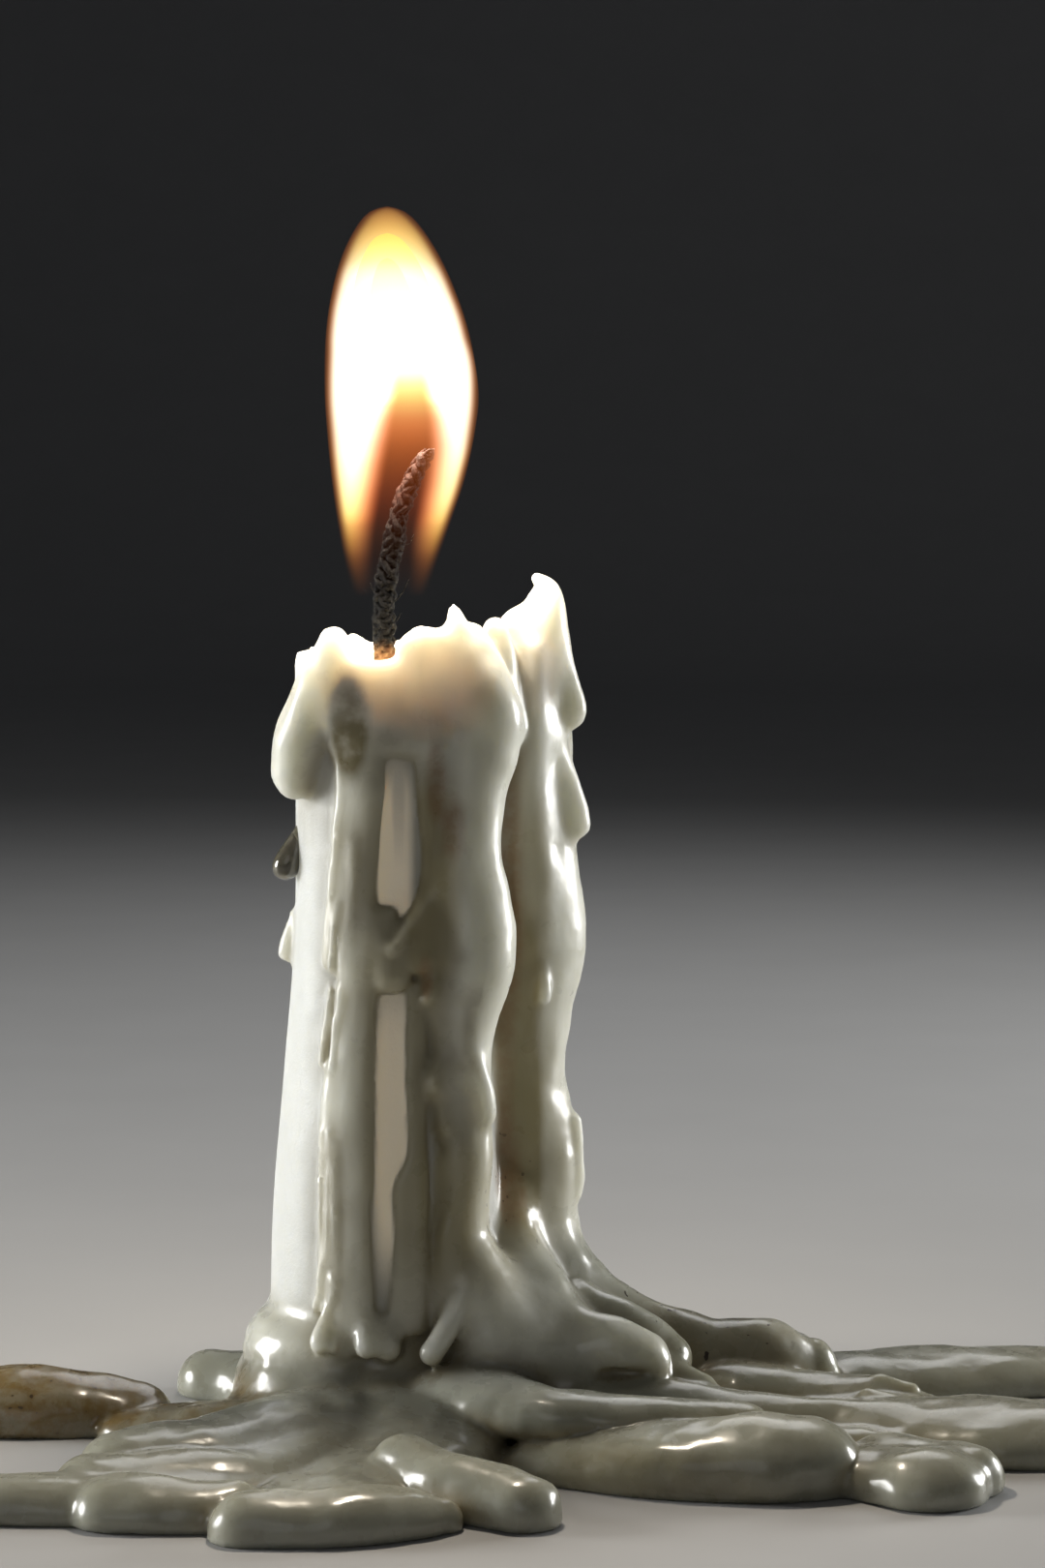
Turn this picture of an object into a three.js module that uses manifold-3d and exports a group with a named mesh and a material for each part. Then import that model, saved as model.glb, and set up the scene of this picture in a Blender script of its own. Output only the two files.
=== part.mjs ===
// A burning, half-melted dinner candle: a tapered wax column with drips frozen down its side, a
// second column of built-up wax fused to its right and rear, and the pool of set wax it stands in.
// Millimetres. +X right, +Y towards the rear, +Z up. The origin is on the table, on the axis of the wick.

import * as THREE from "three";
import { LoftGeometry } from "three/addons/geometries/LoftGeometry.js";
import { mergeVertices } from "three/addons/utils/BufferGeometryUtils.js";
import Module from "manifold-3d";

const wasm = await Module();
wasm.setup();

// ---- driving dimensions ----

const CANDLE_BOTTOM_RADIUS = 11.9;   // where the column enters the mound
const CANDLE_TOP_RADIUS = 9.15;
const TAPER_LOW = 14;                // the column tapers between these two heights
const TAPER_HIGH = 58;
const RIM_FRONT = 78.0;              // rim height at the front and at the rear
const RIM_REAR = 80.0;
const COLUMN_SIDES = 36;
const COLUMN_RINGS = 9;

const BOWL_RADIUS = 7.7;             // the melted hollow around the wick
const BOWL_FLOOR = 74.5;
const BOWL_TOP = 84;
const BOWL_SIDES = 24;

const WICK_RADIUS = 0.95;
const WICK_TIP_RADIUS = 0.62;
const WICK_GAP = 0.35;
const WICK_BOTTOM = 5;
const WICK_SIDES = 8;
const CHANNEL_BOTTOM = 4.5;
const CHANNEL_SIDES = 16;

const FLAME_BASE = 85;
const FLAME_WALL = 0.4;
const FLAME_SIDES = 16;

const TABLE = 0;
const SINK = 1.5;                    // tongues start this far below the table and are cut off flat
const MERGE_WITHIN = 1e-5;           // points closer than this are one point

// ---- smooth paths ----

// A smooth path through hand-placed points [x, y, ...sizes]: position and sizes are both splines.
function smoothPath(points, steps) {
  const places = points.map((p) => new THREE.Vector3(p[0], p[1], p[2]));
  const sizes = points.map((p) => new THREE.Vector3(p[3], p[4] ?? 0, 0));
  const placeCurve = new THREE.CatmullRomCurve3(places, false, "catmullrom", 0.5);
  const sizeCurve = new THREE.CatmullRomCurve3(sizes, false, "catmullrom", 0.5);
  const stations = [];
  for (let i = 0; i <= steps; i += 1) {
    const t = i / steps;
    stations.push({
      place: placeCurve.getPoint(t),
      tangent: placeCurve.getTangent(t),
      size: sizeCurve.getPoint(t),
    });
  }
  return stations;
}

// ---- from a three.js geometry to a solid and back ----

function toSolid(geometry) {
  const bare = new THREE.BufferGeometry();
  bare.setAttribute("position", geometry.attributes.position);
  bare.setIndex(geometry.index);
  const merged = mergeVertices(bare, MERGE_WITHIN);
  return new wasm.Manifold(new wasm.Mesh({
    numProp: 3,
    vertProperties: new Float32Array(merged.attributes.position.array),
    triVerts: new Uint32Array(merged.index.array),
  }));
}

function toGeometry(solid) {
  const mesh = solid.getMesh();
  const geometry = new THREE.BufferGeometry();
  geometry.setAttribute("position", new THREE.BufferAttribute(mesh.vertProperties, 3));
  geometry.setIndex(new THREE.BufferAttribute(mesh.triVerts, 1));
  geometry.computeVertexNormals();
  return geometry;
}

function loft(sections) {
  return toSolid(new LoftGeometry(sections, { closed: true, capStart: true, capEnd: true }));
}

// A level ring of points at a place. A loft that goes up turns counter-clockwise and one that goes
// down turns clockwise, so that both face outwards.
const RISING = 1;
const FALLING = -1;

function levelRing(place, radius, sides, turn, dz = 0) {
  const ring = [];
  for (let i = 0; i < sides; i += 1) {
    const angle = (turn * 2 * Math.PI * i) / sides;
    const x = place.x + radius * Math.cos(angle);
    const y = place.y + radius * Math.sin(angle);
    ring.push(new THREE.Vector3(x, y, place.z + dz));
  }
  return ring;
}

// ---- a run: wax that came down a side and set ----

const RUN_SIDES = 8;
const END_ANGLES = [32, 64].map(THREE.MathUtils.degToRad);

// Points are [x, y, z, radius], from the top down. Both ends are round.
function run(points, steps = 2 * (points.length - 1)) {
  const stations = smoothPath(points, steps);
  const first = stations[0];
  const last = stations[stations.length - 1];
  const sections = [];
  const addEnd = ({ place, size }, up, angle) => {
    const radius = size.x * Math.cos(angle);
    sections.push(levelRing(place, radius, RUN_SIDES, FALLING, up * size.x * Math.sin(angle)));
  };
  for (const angle of [...END_ANGLES].reverse()) {
    addEnd(first, 1, angle);
  }
  for (const { place, size } of stations) {
    sections.push(levelRing(place, size.x, RUN_SIDES, FALLING));
  }
  for (const angle of END_ANGLES) {
    addEnd(last, -1, angle);
  }
  return loft(sections);
}

// ---- a tongue: wax that ran out over the table and set ----

const TONGUE_SIDES = 10;
const END_HEIGHT = 0.35;             // the share of its height that a tongue keeps at its very end

// An upright oval section across the heading, from base up to base + height.
function uprightRing(place, heading, halfWidth, height, lift) {
  const ring = [];
  const side = new THREE.Vector3(-heading.y, heading.x, 0);
  for (let i = 0; i < TONGUE_SIDES; i += 1) {
    const angle = (2 * Math.PI * i) / TONGUE_SIDES;
    const across = halfWidth * Math.cos(angle);
    const up = lift + (height / 2) * (1 + Math.sin(angle));
    ring.push(new THREE.Vector3(place.x + side.x * across, place.y + side.y * across, up));
  }
  return ring;
}

// Points are [x, y, base, halfWidth, height]. Both ends are round in plan and rolled over.
function tongue(points, steps = 2 * (points.length - 1)) {
  const stations = smoothPath(points, steps);
  const sections = [];
  const addStation = ({ place, tangent, size }, outward, angle) => {
    const heading = new THREE.Vector3(tangent.x, tangent.y, 0).normalize();
    const shift = outward * size.x * Math.sin(angle);
    const centre = place.clone().addScaledVector(heading, shift);
    const height = size.y * THREE.MathUtils.lerp(END_HEIGHT, 1, Math.cos(angle));
    const lift = place.z + (size.y - height) * END_HEIGHT;
    sections.push(uprightRing(centre, heading, size.x * Math.cos(angle), height, lift));
  };
  for (const angle of [...END_ANGLES].reverse()) {
    addStation(stations[0], -1, angle);
  }
  for (const station of stations) {
    addStation(station, 0, 0);
  }
  for (const angle of END_ANGLES) {
    addStation(stations[stations.length - 1], 1, angle);
  }
  return loft(sections);
}

// ---- a mound: a flattened half ball of wax ----

const MOUND_SIDES = 18;
const MOUND_RINGS = 10;

function mound(x, y, z, halfX, halfY, halfZ) {
  const ball = new THREE.SphereGeometry(1, MOUND_SIDES, MOUND_RINGS);
  ball.rotateX(Math.PI / 2);
  ball.scale(halfX, halfY, halfZ);
  ball.translate(x, y, z);
  return toSolid(ball);
}

// ---- the candle itself ----

function smoothStep(low, high, value) {
  const t = THREE.MathUtils.clamp((value - low) / (high - low), 0, 1);
  return t * t * (3 - 2 * t);
}

function candleRadius(z) {
  return THREE.MathUtils.lerp(CANDLE_BOTTOM_RADIUS, CANDLE_TOP_RADIUS, smoothStep(TAPER_LOW, TAPER_HIGH, z));
}

function candleColumn() {
  const sections = [];
  for (let i = 0; i <= COLUMN_RINGS; i += 1) {
    const ring = [];
    const share = i / COLUMN_RINGS;
    for (let j = 0; j < COLUMN_SIDES; j += 1) {
      const angle = (2 * Math.PI * j) / COLUMN_SIDES;
      const rim = THREE.MathUtils.lerp(RIM_FRONT, RIM_REAR, (1 + Math.sin(angle)) / 2);
      const z = THREE.MathUtils.lerp(-SINK, rim, share);
      const radius = candleRadius(z);
      ring.push(new THREE.Vector3(radius * Math.cos(angle), radius * Math.sin(angle), z));
    }
    sections.push(ring);
  }
  return loft(sections);
}

// The bowl around the wick: a lathe profile from the axis at its floor out to a wide mouth.
function meltBowl() {
  const profile = [
    [0, BOWL_FLOOR],
    [0.55 * BOWL_RADIUS, BOWL_FLOOR + 0.4],
    [0.85 * BOWL_RADIUS, BOWL_FLOOR + 1.6],
    [BOWL_RADIUS, BOWL_FLOOR + 3.6],
    [BOWL_RADIUS + 0.3, BOWL_TOP],
    [0, BOWL_TOP],
  ].map(([r, z]) => new THREE.Vector2(r, z));
  const bowl = new THREE.LatheGeometry(profile, BOWL_SIDES);
  bowl.rotateX(Math.PI / 2);
  return toSolid(bowl);
}

// Bumps that the wax left on the rim, [x, y, z, radius] from the top down.
const RIM_BUMPS = [
  [[-4.9, -7.9, 80.2, 1.9], [-5.0, -8.0, 74, 2.2]],
  [[3.6, -8.6, 80.3, 1.7], [2.6, -9.0, 72, 2.3]],
  [[7.0, -6.6, 83.2, 1.0], [7.4, -6.8, 81, 2.0], [7.6, -6.8, 77, 3.0]],
  [[9.4, -4.6, 80.6, 1.4], [9.8, -4.6, 73, 2.6]],
  [[11.0, -0.6, 80.9, 1.6], [11.0, -0.6, 72, 3.4]],
];

// Runs down the candle's own side, [x, y, z, radius] from the top down.
const FRONT_RUNS = {
  left_lobe_outer: [[-6.2, -7.2, 78, 1.6], [-8.4, -6.1, 73, 2.0], [-9.7, -4.8, 66.9, 1.5]],
  left_lobe_inner: [[-6.4, -7.8, 76, 1.8], [-8.3, -6.6, 66, 1.6]],
  curtain_left: [[-2.6, -8.2, 77, 2.0], [-2.6, -8.6, 70, 2.2], [-1.8, -8.4, 57, 2.4],
    [-0.4, -9.0, 48.2, 2.6]],
  lower_band: [[-2.9, -8.7, 47, 2.3], [-3.3, -9.6, 12, 2.9]],
  right_sheet: [[3.0, -8.4, 76, 2.2], [4.5, -8.3, 60, 2.8], [4.6, -8.7, 36, 2.6], [4.4, -9.4, 12, 3.2]],
  main_run: [[8.2, -5.6, 80, 3.4], [9.5, -5.4, 72, 4.5], [8.1, -6.3, 60, 3.8], [9.0, -6.4, 50, 4.2],
    [7.5, -6.9, 39.5, 3.3], [7.6, -7.0, 28, 3.6], [7.2, -7.6, 21, 3.3], [8.4, -8.2, 12, 4.6]],
  middle_drip: [[6.9, -9.6, 75, 1.2], [7.2, -10.4, 65.4, 1.4]],
  slanting_drip: [[4.8, -10.4, 60, 1.0], [1.7, -10.6, 50.6, 1.2]],
  left_bump: [[5.6, -10.4, 41, 0.9], [5.0, -10.6, 37.4, 1.6], [5.6, -10.9, 32, 1.2]],
  right_drop: [[9.0, -8.6, 40, 1.0], [10.0, -8.5, 33.6, 1.5]],
  clear_drop: [[-9.0, -1.0, 61.5, 0.5], [-10.2, -1.2, 57.4, 1.2]],
  side_bump: [[-9.4, 0.2, 51.5, 0.7], [-9.9, 0.2, 49, 1.2]],
};

// Runs that make up the second column, fused to the candle's right and rear.
const REAR_RUNS = {
  column: [[14.2, 4.2, 80, 3.4], [14.6, 4.5, 76, 4.2], [13.4, 5.4, 68, 5.4], [13.8, 5.8, 58, 5.9],
    [14.1, 6.0, 49.5, 6.2], [13.0, 6.2, 40, 5.9], [12.6, 6.3, 33.5, 5.8], [13.6, 6.3, 26, 6.3],
    [13.2, 6.2, 16, 6.6], [14.2, 5.4, 6, 8.8]],
  crest: [[15.7, 4.0, 86.8, 0.5], [16.3, 4.0, 85.2, 1.7], [16.2, 4.1, 82, 2.4], [15.6, 4.2, 78, 3.0]],
  upper_drip: [[17.6, 4.0, 80, 1.0], [19.3, 4.0, 72.7, 1.45]],
  lower_drip: [[18.0, 4.2, 66.5, 1.0], [19.8, 4.2, 60.8, 1.3]],
  web: [[9.5, 1.5, 78, 3.0], [10.0, 2.0, 50, 3.1], [10.2, 1.6, 14, 4.0]],
  rear_run: [[3.5, 7.6, 76, 1.8], [3.6, 8.8, 44, 2.2], [3.4, 10, 8, 3.4]],
  rear_drip: [[-4.2, 7.4, 77, 1.5], [-4.8, 8.2, 58, 1.7]],
};

// Small runs around the candle's foot.
const FOOT_RUNS = {
  left_foot: [[-11.0, -3.0, 14, 1.6], [-12.8, -4.2, 6.5, 2.5]],
  left_foot_front: [[-9.4, -6.4, 13, 1.5], [-10.4, -8.0, 6, 2.5]],
  foot_drip_fat: [[-1.8, -11.0, 14, 1.0], [-2.0, -12.9, 9.0, 1.8]],
  foot_drip_slanting: [[7.0, -10.8, 16, 1.2], [4.6, -12.8, 9.6, 1.5]],
};

// Tongues of the pool, [x, y, base, half width, height].
const LOW = -SINK;
const TONGUES = {
  front_left: [[-2, -12, LOW, 9, 8.5], [-12, -26, LOW, 9.5, 6.6], [-20, -34, LOW, 9, 6.4]],
  front_left_finger: [[-24, -33, LOW, 5.4, 6.6], [-10.6, -31, LOW, 3.8, 6.4]],
  front_left_second_finger: [[-22, -40, LOW, 4.6, 5.6], [-12.4, -40.6, LOW, 3.8, 5.4]],
  far_left: [[-28, -37.4, LOW, 5.0, 5.6], [-38, -37, LOW, 4.8, 5.4], [-45.6, -36, LOW, 4.6, 5.2]],
  front_lobe: [[-11.6, -46.4, LOW, 3.9, 5.6], [-3, -45.2, LOW, 4.4, 6.0], [4.4, -43.6, LOW, 3.3, 5.8]],
  small_lobe: [[5.2, -34, LOW, 4.2, 6.2], [14.2, -41, LOW, 3.9, 5.8]],
  middle: [[6, -12, LOW, 11, 9.2], [4.5, -24, LOW, 10, 7.4], [0, -36, LOW, 9, 6.4]],
  ridge: [[12, -11, 1, 6, 8.2], [22, -16.6, 1.6, 4.6, 6.8], [35.4, -18.2, 1.8, 3.4, 5.0]],
  right_lobe: [[18, -21, LOW, 6, 6.2], [28, -27, LOW, 7.6, 6.6], [41, -28, LOW, 7.0, 6.4]],
  far_right_lobe: [[46, -26, LOW, 5.4, 5.6], [53.6, -31, LOW, 6.2, 6.2]],
  far_right_end: [[51, -24, LOW, 5.2, 5.8], [56.8, -28.4, LOW, 3.8, 5.6]],
  right_edge: [[46, -8, LOW, 8, 6.4], [60, -12.6, LOW, 8.2, 6.6], [72.4, -14, LOW, 7.2, 6.2]],
  amber_slope: [[20, 1, LOW, 9, 14.5], [30, 2.6, LOW, 7.4, 11.4], [42.6, 6, LOW, 4.6, 8.0]],
  middle_right: [[24, -8, LOW, 8, 10], [36, -9.6, LOW, 6.4, 7.8], [46, -10.4, LOW, 4.2, 6.8]],
  glint_lobe: [[38, -1, LOW, 6.6, 7.4], [54, -4.6, LOW, 4.2, 6.4]],
  behind_amber: [[22, 12, LOW, 8, 8], [42, 17, LOW, 5.0, 7.4]],
  far_rear_right: [[40, 10, LOW, 8, 5.8], [56, 14, LOW, 7.4, 5.8], [70, 17, LOW, 6, 5.4]],
  stained_lump: [[-27, -2.4, LOW, 5.2, 7.2], [-36, -2.2, LOW, 6.0, 7.8], [-44, -2, LOW, 5.6, 7.4]],
  left_shelf: [[-8, -10, LOW, 10, 7.0], [-18, -8, LOW, 9.6, 5.6], [-27, -6, LOW, 7, 5.2]],
  rear_left: [[-6, 6, LOW, 8, 7.4], [-18.6, 13.4, LOW, 4.6, 6.0]],
  rear: [[2, 12, LOW, 10, 8], [-3, 26, LOW, 6.4, 5.8]],
  rear_right: [[14, 12, LOW, 10, 9], [24, 27, LOW, 6.4, 5.8]],
};

// Low mounds under and between them, [x, y, z, half x, half y, half z].
const MOUNDS = [
  [0, -3, 0, 16.5, 14.5, 9.4],
  [14, 1, 0, 17, 14, 11.5],
  [23, -8, 0, 9, 8, 11.4],
  [24.4, -10, 9.2, 3.2, 2.8, 3.0],
  [-9, -17, 0, 20, 16, 4.6],
  [-5, -37, 0, 9, 8, 4.4],
  [36, -8, 0, 24, 17, 4.8],
  [6, 12, 0, 24, 15, 4.8],
];

function joinRuns(runs) {
  return Object.values(runs).map((points) => run(points));
}

// A straight hole on the axis, which leaves the wick free of the wax all round.
function wickChannel() {
  const length = BOWL_TOP - CHANNEL_BOTTOM;
  const radius = WICK_RADIUS + WICK_GAP;
  const channel = new THREE.CylinderGeometry(radius, radius, length, CHANNEL_SIDES);
  channel.rotateX(Math.PI / 2);
  channel.translate(0, 0, CHANNEL_BOTTOM + length / 2);
  return toSolid(channel);
}

// Everything below the table top, to be cut off.
function underTable() {
  const side = 400;
  const depth = 40;
  const block = new THREE.BoxGeometry(side, side, depth);
  block.translate(0, 0, TABLE - depth / 2);
  return toSolid(block);
}

function waxBody() {
  const pieces = [
    candleColumn(),
    ...RIM_BUMPS.map((points) => run(points)),
    ...joinRuns(FRONT_RUNS),
    ...joinRuns(REAR_RUNS),
    ...joinRuns(FOOT_RUNS),
    ...Object.values(TONGUES).map((points) => tongue(points)),
    ...MOUNDS.map((sizes) => mound(...sizes)),
  ];
  let wax = pieces[0];
  for (const piece of pieces.slice(1)) {
    wax = wax.add(piece);
  }
  return wax.subtract(meltBowl()).subtract(wickChannel()).subtract(underTable());
}

// ---- the wick ----

// Points are [x, y, z, radius], from the bottom up: straight in the wax, then bent over by burning.
const WICK_PATH = [
  [0, 0, WICK_BOTTOM, WICK_RADIUS],
  [0, 0, 40, WICK_RADIUS],
  [0, 0, 74, WICK_RADIUS],
  [-0.2, 0, 81, 0.92],
  [0.2, 0, 86.5, 0.9],
  [1.4, 0, 90.8, 0.88],
  [2.7, 0, 94.8, 0.82],
  [4.1, 0, 98.5, 0.74],
  [4.9, 0, 100.4, WICK_TIP_RADIUS],
];

function wickBody() {
  const stations = smoothPath(WICK_PATH, 3 * (WICK_PATH.length - 1));
  return loft(stations.map(({ place, size }) => levelRing(place, size.x, WICK_SIDES, RISING)));
}

// ---- the flame ----

// Points are [x, y, z, radius], from the base up: the outline of the glowing gas.
const FLAME_PATH = [
  [0.4, 0, FLAME_BASE, 3.6],
  [0.5, 0, 88, 4.5],
  [0.9, 0, 92.4, 5.6],
  [1.3, 0, 97, 6.7],
  [1.6, 0, 102, 7.5],
  [1.7, 0, 106, 7.8],
  [1.3, 0, 111.5, 7.2],
  [0.9, 0, 116, 6.0],
  [0.6, 0, 119.6, 4.7],
  [0.4, 0, 122.4, 3.0],
  [0.3, 0, 123.7, 1.6],
  [0.3, 0, 124.2, 0.5],
];

// The outline moved in by the inset. The inner one starts lower, so that the flame's foot is open.
function flameSkin(inset, drop) {
  const stations = smoothPath(FLAME_PATH, FLAME_PATH.length - 1);
  const foot = stations[0];
  const sections = [];
  if (drop > 0) {
    sections.push(levelRing(foot.place, foot.size.x - inset, FLAME_SIDES, RISING, -drop));
  }
  for (const { place, size } of stations) {
    if (size.x > 2 * inset) {
      sections.push(levelRing(place, size.x - inset, FLAME_SIDES, RISING, -inset / 2));
    }
  }
  return loft(sections);
}

function flameBody() {
  const drop = 3;
  return flameSkin(0, 0).subtract(flameSkin(FLAME_WALL, drop));
}

// ---- materials and the assembled part ----

const waxFinish = new THREE.MeshStandardMaterial({ color: 0xdedcd0, roughness: 0.32, metalness: 0 });
const wickFinish = new THREE.MeshStandardMaterial({ color: 0x1a1310, roughness: 0.9, metalness: 0 });
const flameFinish = new THREE.MeshStandardMaterial({ color: 0xffc46a, roughness: 0.6, metalness: 0 });
flameFinish.emissive = new THREE.Color(0xffa030);

function namedMesh(name, solid, material) {
  const mesh = new THREE.Mesh(toGeometry(solid), material);
  mesh.name = name;
  return mesh;
}

const group = new THREE.Group();
group.name = "melted_candle";
group.add(namedMesh("wax", waxBody(), waxFinish));
group.add(namedMesh("wick", wickBody(), wickFinish));
group.add(namedMesh("flame", flameBody(), flameFinish));

export default group;
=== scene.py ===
"""A burning, half-melted dinner candle that stands in the pool of wax that ran off it.

The wax has run together, so it is worked out as one field of distances in millimetres: the bare
candle, the runs down its side, the column of built-up wax beside it and the tongues of the pool are
each a distance from a curved shape, and they are blended with a fillet where they meet. The wick is
a braid of charred strands, and the flame is a glowing gas with two thin skins inside it.
"""

import sys
import logging
import math
from dataclasses import dataclass, field
from enum import Enum
from typing import Sequence

import bpy
import numpy as np
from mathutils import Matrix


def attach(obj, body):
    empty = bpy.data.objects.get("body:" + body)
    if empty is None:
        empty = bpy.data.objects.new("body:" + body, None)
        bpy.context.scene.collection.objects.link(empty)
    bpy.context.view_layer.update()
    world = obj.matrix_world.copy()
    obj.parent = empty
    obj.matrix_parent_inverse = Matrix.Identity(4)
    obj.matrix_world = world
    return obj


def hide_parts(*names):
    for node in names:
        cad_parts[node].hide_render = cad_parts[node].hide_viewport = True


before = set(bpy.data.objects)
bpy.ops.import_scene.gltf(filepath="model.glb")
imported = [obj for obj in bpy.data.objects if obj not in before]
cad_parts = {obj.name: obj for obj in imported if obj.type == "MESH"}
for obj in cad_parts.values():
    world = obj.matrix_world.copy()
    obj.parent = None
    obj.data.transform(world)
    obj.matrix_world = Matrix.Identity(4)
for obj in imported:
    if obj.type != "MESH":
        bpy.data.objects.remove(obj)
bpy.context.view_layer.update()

import openvdb

MM = 0.001                      # the sizes below are millimetres
LOG = logging.getLogger("candle")
Rows = Sequence[Sequence[float]]


# ---------------------------------------------------------------- curves and meshes


def smooth_rows(rows: Rows, steps: int) -> np.ndarray:
    """Run a Catmull-Rom spline through rows of numbers.

    Each span between two rows is a cubic whose slope at a row is half the step from the row before
    to the row after.

    Args:
        rows: The given points, with any number of columns.
        steps: How many steps to take in each span.

    Returns:
        The points on the spline, one to a row, with both ends included.
    """
    given = np.asarray(rows, dtype=float)
    padded = np.vstack([2 * given[0] - given[1], given, 2 * given[-1] - given[-2]])
    before, here, there, after = padded[:-3], padded[1:-2], padded[2:-1], padded[3:]
    t = (np.arange(steps) / steps)[None, :, None]
    spans = 0.5 * (
        2 * here[:, None]
        + (there - before)[:, None] * t
        + (2 * before - 5 * here + 4 * there - after)[:, None] * t**2
        + (3 * here - before - 3 * there + after)[:, None] * t**3
    )
    return np.vstack([spans.reshape(-1, given.shape[1]), given[-1:]])


def ease(low: float, high: float, value: np.ndarray) -> np.ndarray:
    """Rise smoothly from 0 at low to 1 at high, as 3t^2 - 2t^3.

    Args:
        low: Where the result is 0.
        high: Where the result is 1.
        value: The numbers to ease.

    Returns:
        An array of the same shape, from 0 to 1.
    """
    t = np.clip((value - low) / (high - low), 0.0, 1.0)
    return t * t * (3 - 2 * t)


class Lattice:
    """Smooth repeatable noise: random numbers on a cubic lattice, eased between."""

    SIDE = 32

    def __init__(self, seed: int) -> None:
        """Draw the lattice's numbers.

        Args:
            seed: The seed of the random draw.
        """
        draw = np.random.default_rng(seed)
        self.numbers = draw.uniform(-1.0, 1.0, (self.SIDE,) * 3)

    def at(self, points: np.ndarray, wavelength: float) -> np.ndarray:
        """Read the noise at points.

        Args:
            points: Places in millimetres, one to a row.
            wavelength: The lattice's pitch in millimetres.

        Returns:
            One number from -1 to 1 for each point.
        """
        place = np.asarray(points, dtype=float) / wavelength
        corner = np.floor(place).astype(int)
        part = place - corner
        part = part * part * (3 - 2 * part)
        total = np.zeros(len(place))
        for step in np.ndindex(2, 2, 2):
            index = (corner + step) % self.SIDE
            weight = np.prod(np.where(step, part, 1 - part), axis=1)
            total += weight * self.numbers[index[:, 0], index[:, 1], index[:, 2]]
        return total


def new_object(name: str, points: np.ndarray, faces: np.ndarray, smooth: bool = True) -> bpy.types.Object:
    """Put points in millimetres and faces of one size into a new object at the origin.

    Args:
        name: The object's name.
        points: The vertices, one to a row.
        faces: The corners of each face, one face to a row.
        smooth: Whether the faces are shaded smooth.

    Returns:
        The object, linked to the scene.
    """
    mesh = bpy.data.meshes.new(name)
    corners = faces.shape[1]
    mesh.vertices.add(len(points))
    mesh.loops.add(faces.size)
    mesh.polygons.add(len(faces))
    mesh.vertices.foreach_set("co", (np.asarray(points) * MM).astype(np.float32).ravel())
    mesh.loops.foreach_set("vertex_index", faces.astype(np.int32).ravel())
    mesh.polygons.foreach_set("loop_start", np.arange(0, faces.size, corners, dtype=np.int32))
    mesh.update(calc_edges=True)
    mesh.validate()
    mesh.shade_smooth() if smooth else mesh.shade_flat()
    made = bpy.data.objects.new(name, mesh)
    bpy.context.scene.collection.objects.link(made)
    return made


def set_number(mesh: bpy.types.Mesh, name: str, values: np.ndarray) -> None:
    """Store one number at each vertex, for a material to read.

    Args:
        mesh: The mesh.
        name: The attribute's name.
        values: One number for each vertex.
    """
    layer = mesh.attributes.new(name, "FLOAT", "POINT")
    layer.data.foreach_set("value", np.asarray(values, dtype=np.float32))


def grid_faces(rows: int, columns: int, wrap: bool) -> np.ndarray:
    """Work out the four-cornered faces of a grid of points.

    Args:
        rows: How many rows the grid has.
        columns: How many points are in a row.
        wrap: Whether the last column joins the first.

    Returns:
        Four indices to a face. With rows rising and columns counter-clockwise, faces point outwards.
    """
    i = np.arange(rows - 1)[:, None]
    j = np.arange(columns if wrap else columns - 1)[None, :]
    k = (j + 1) % columns
    corners = [i * columns + j, i * columns + k, (i + 1) * columns + k, (i + 1) * columns + j]
    return np.stack([c + 0 * (i + j) for c in corners], axis=-1).reshape(-1, 4)


def joined(parts: Sequence[tuple[np.ndarray, np.ndarray]]) -> tuple[np.ndarray, np.ndarray]:
    """Join several sets of points and faces into one.

    Args:
        parts: Pairs of points and faces.

    Returns:
        All points, and all faces counted on from the points before them.
    """
    starts = np.cumsum([0] + [len(points) for points, _ in parts[:-1]])
    points = np.vstack([points for points, _ in parts])
    faces = np.vstack([faces + start for (_, faces), start in zip(parts, starts)])
    return points, faces


# ---------------------------------------------------------------- the field of distances


def oval_distance(across: np.ndarray, up: np.ndarray, along: np.ndarray, power: float) -> np.ndarray:
    """Measure how far a place is from a rounded oval body, to first order.

    With each offset divided by the body's half size that way, k is their power mean and the
    distance is (k - 1) over the slope of k.

    Args:
        across: Pair of the offset and the half size one way.
        up: The same for the second way.
        along: The same for the third way.
        power: 2 gives an ellipsoid, and more gives flatter faces.

    Returns:
        Distances, negative inside.
    """
    k = 0.0
    pull = 0.0
    for offset, half in (across, up, along):
        share = np.abs(offset) / half
        k = k + share**power
        pull = pull + (share ** (power - 1) / half) ** 2
    k = np.maximum(k, 1e-6)
    slope = np.sqrt(pull) * k ** (1 / power - 1)
    return (k ** (1 / power) - 1) / np.maximum(slope, 0.02)


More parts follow.
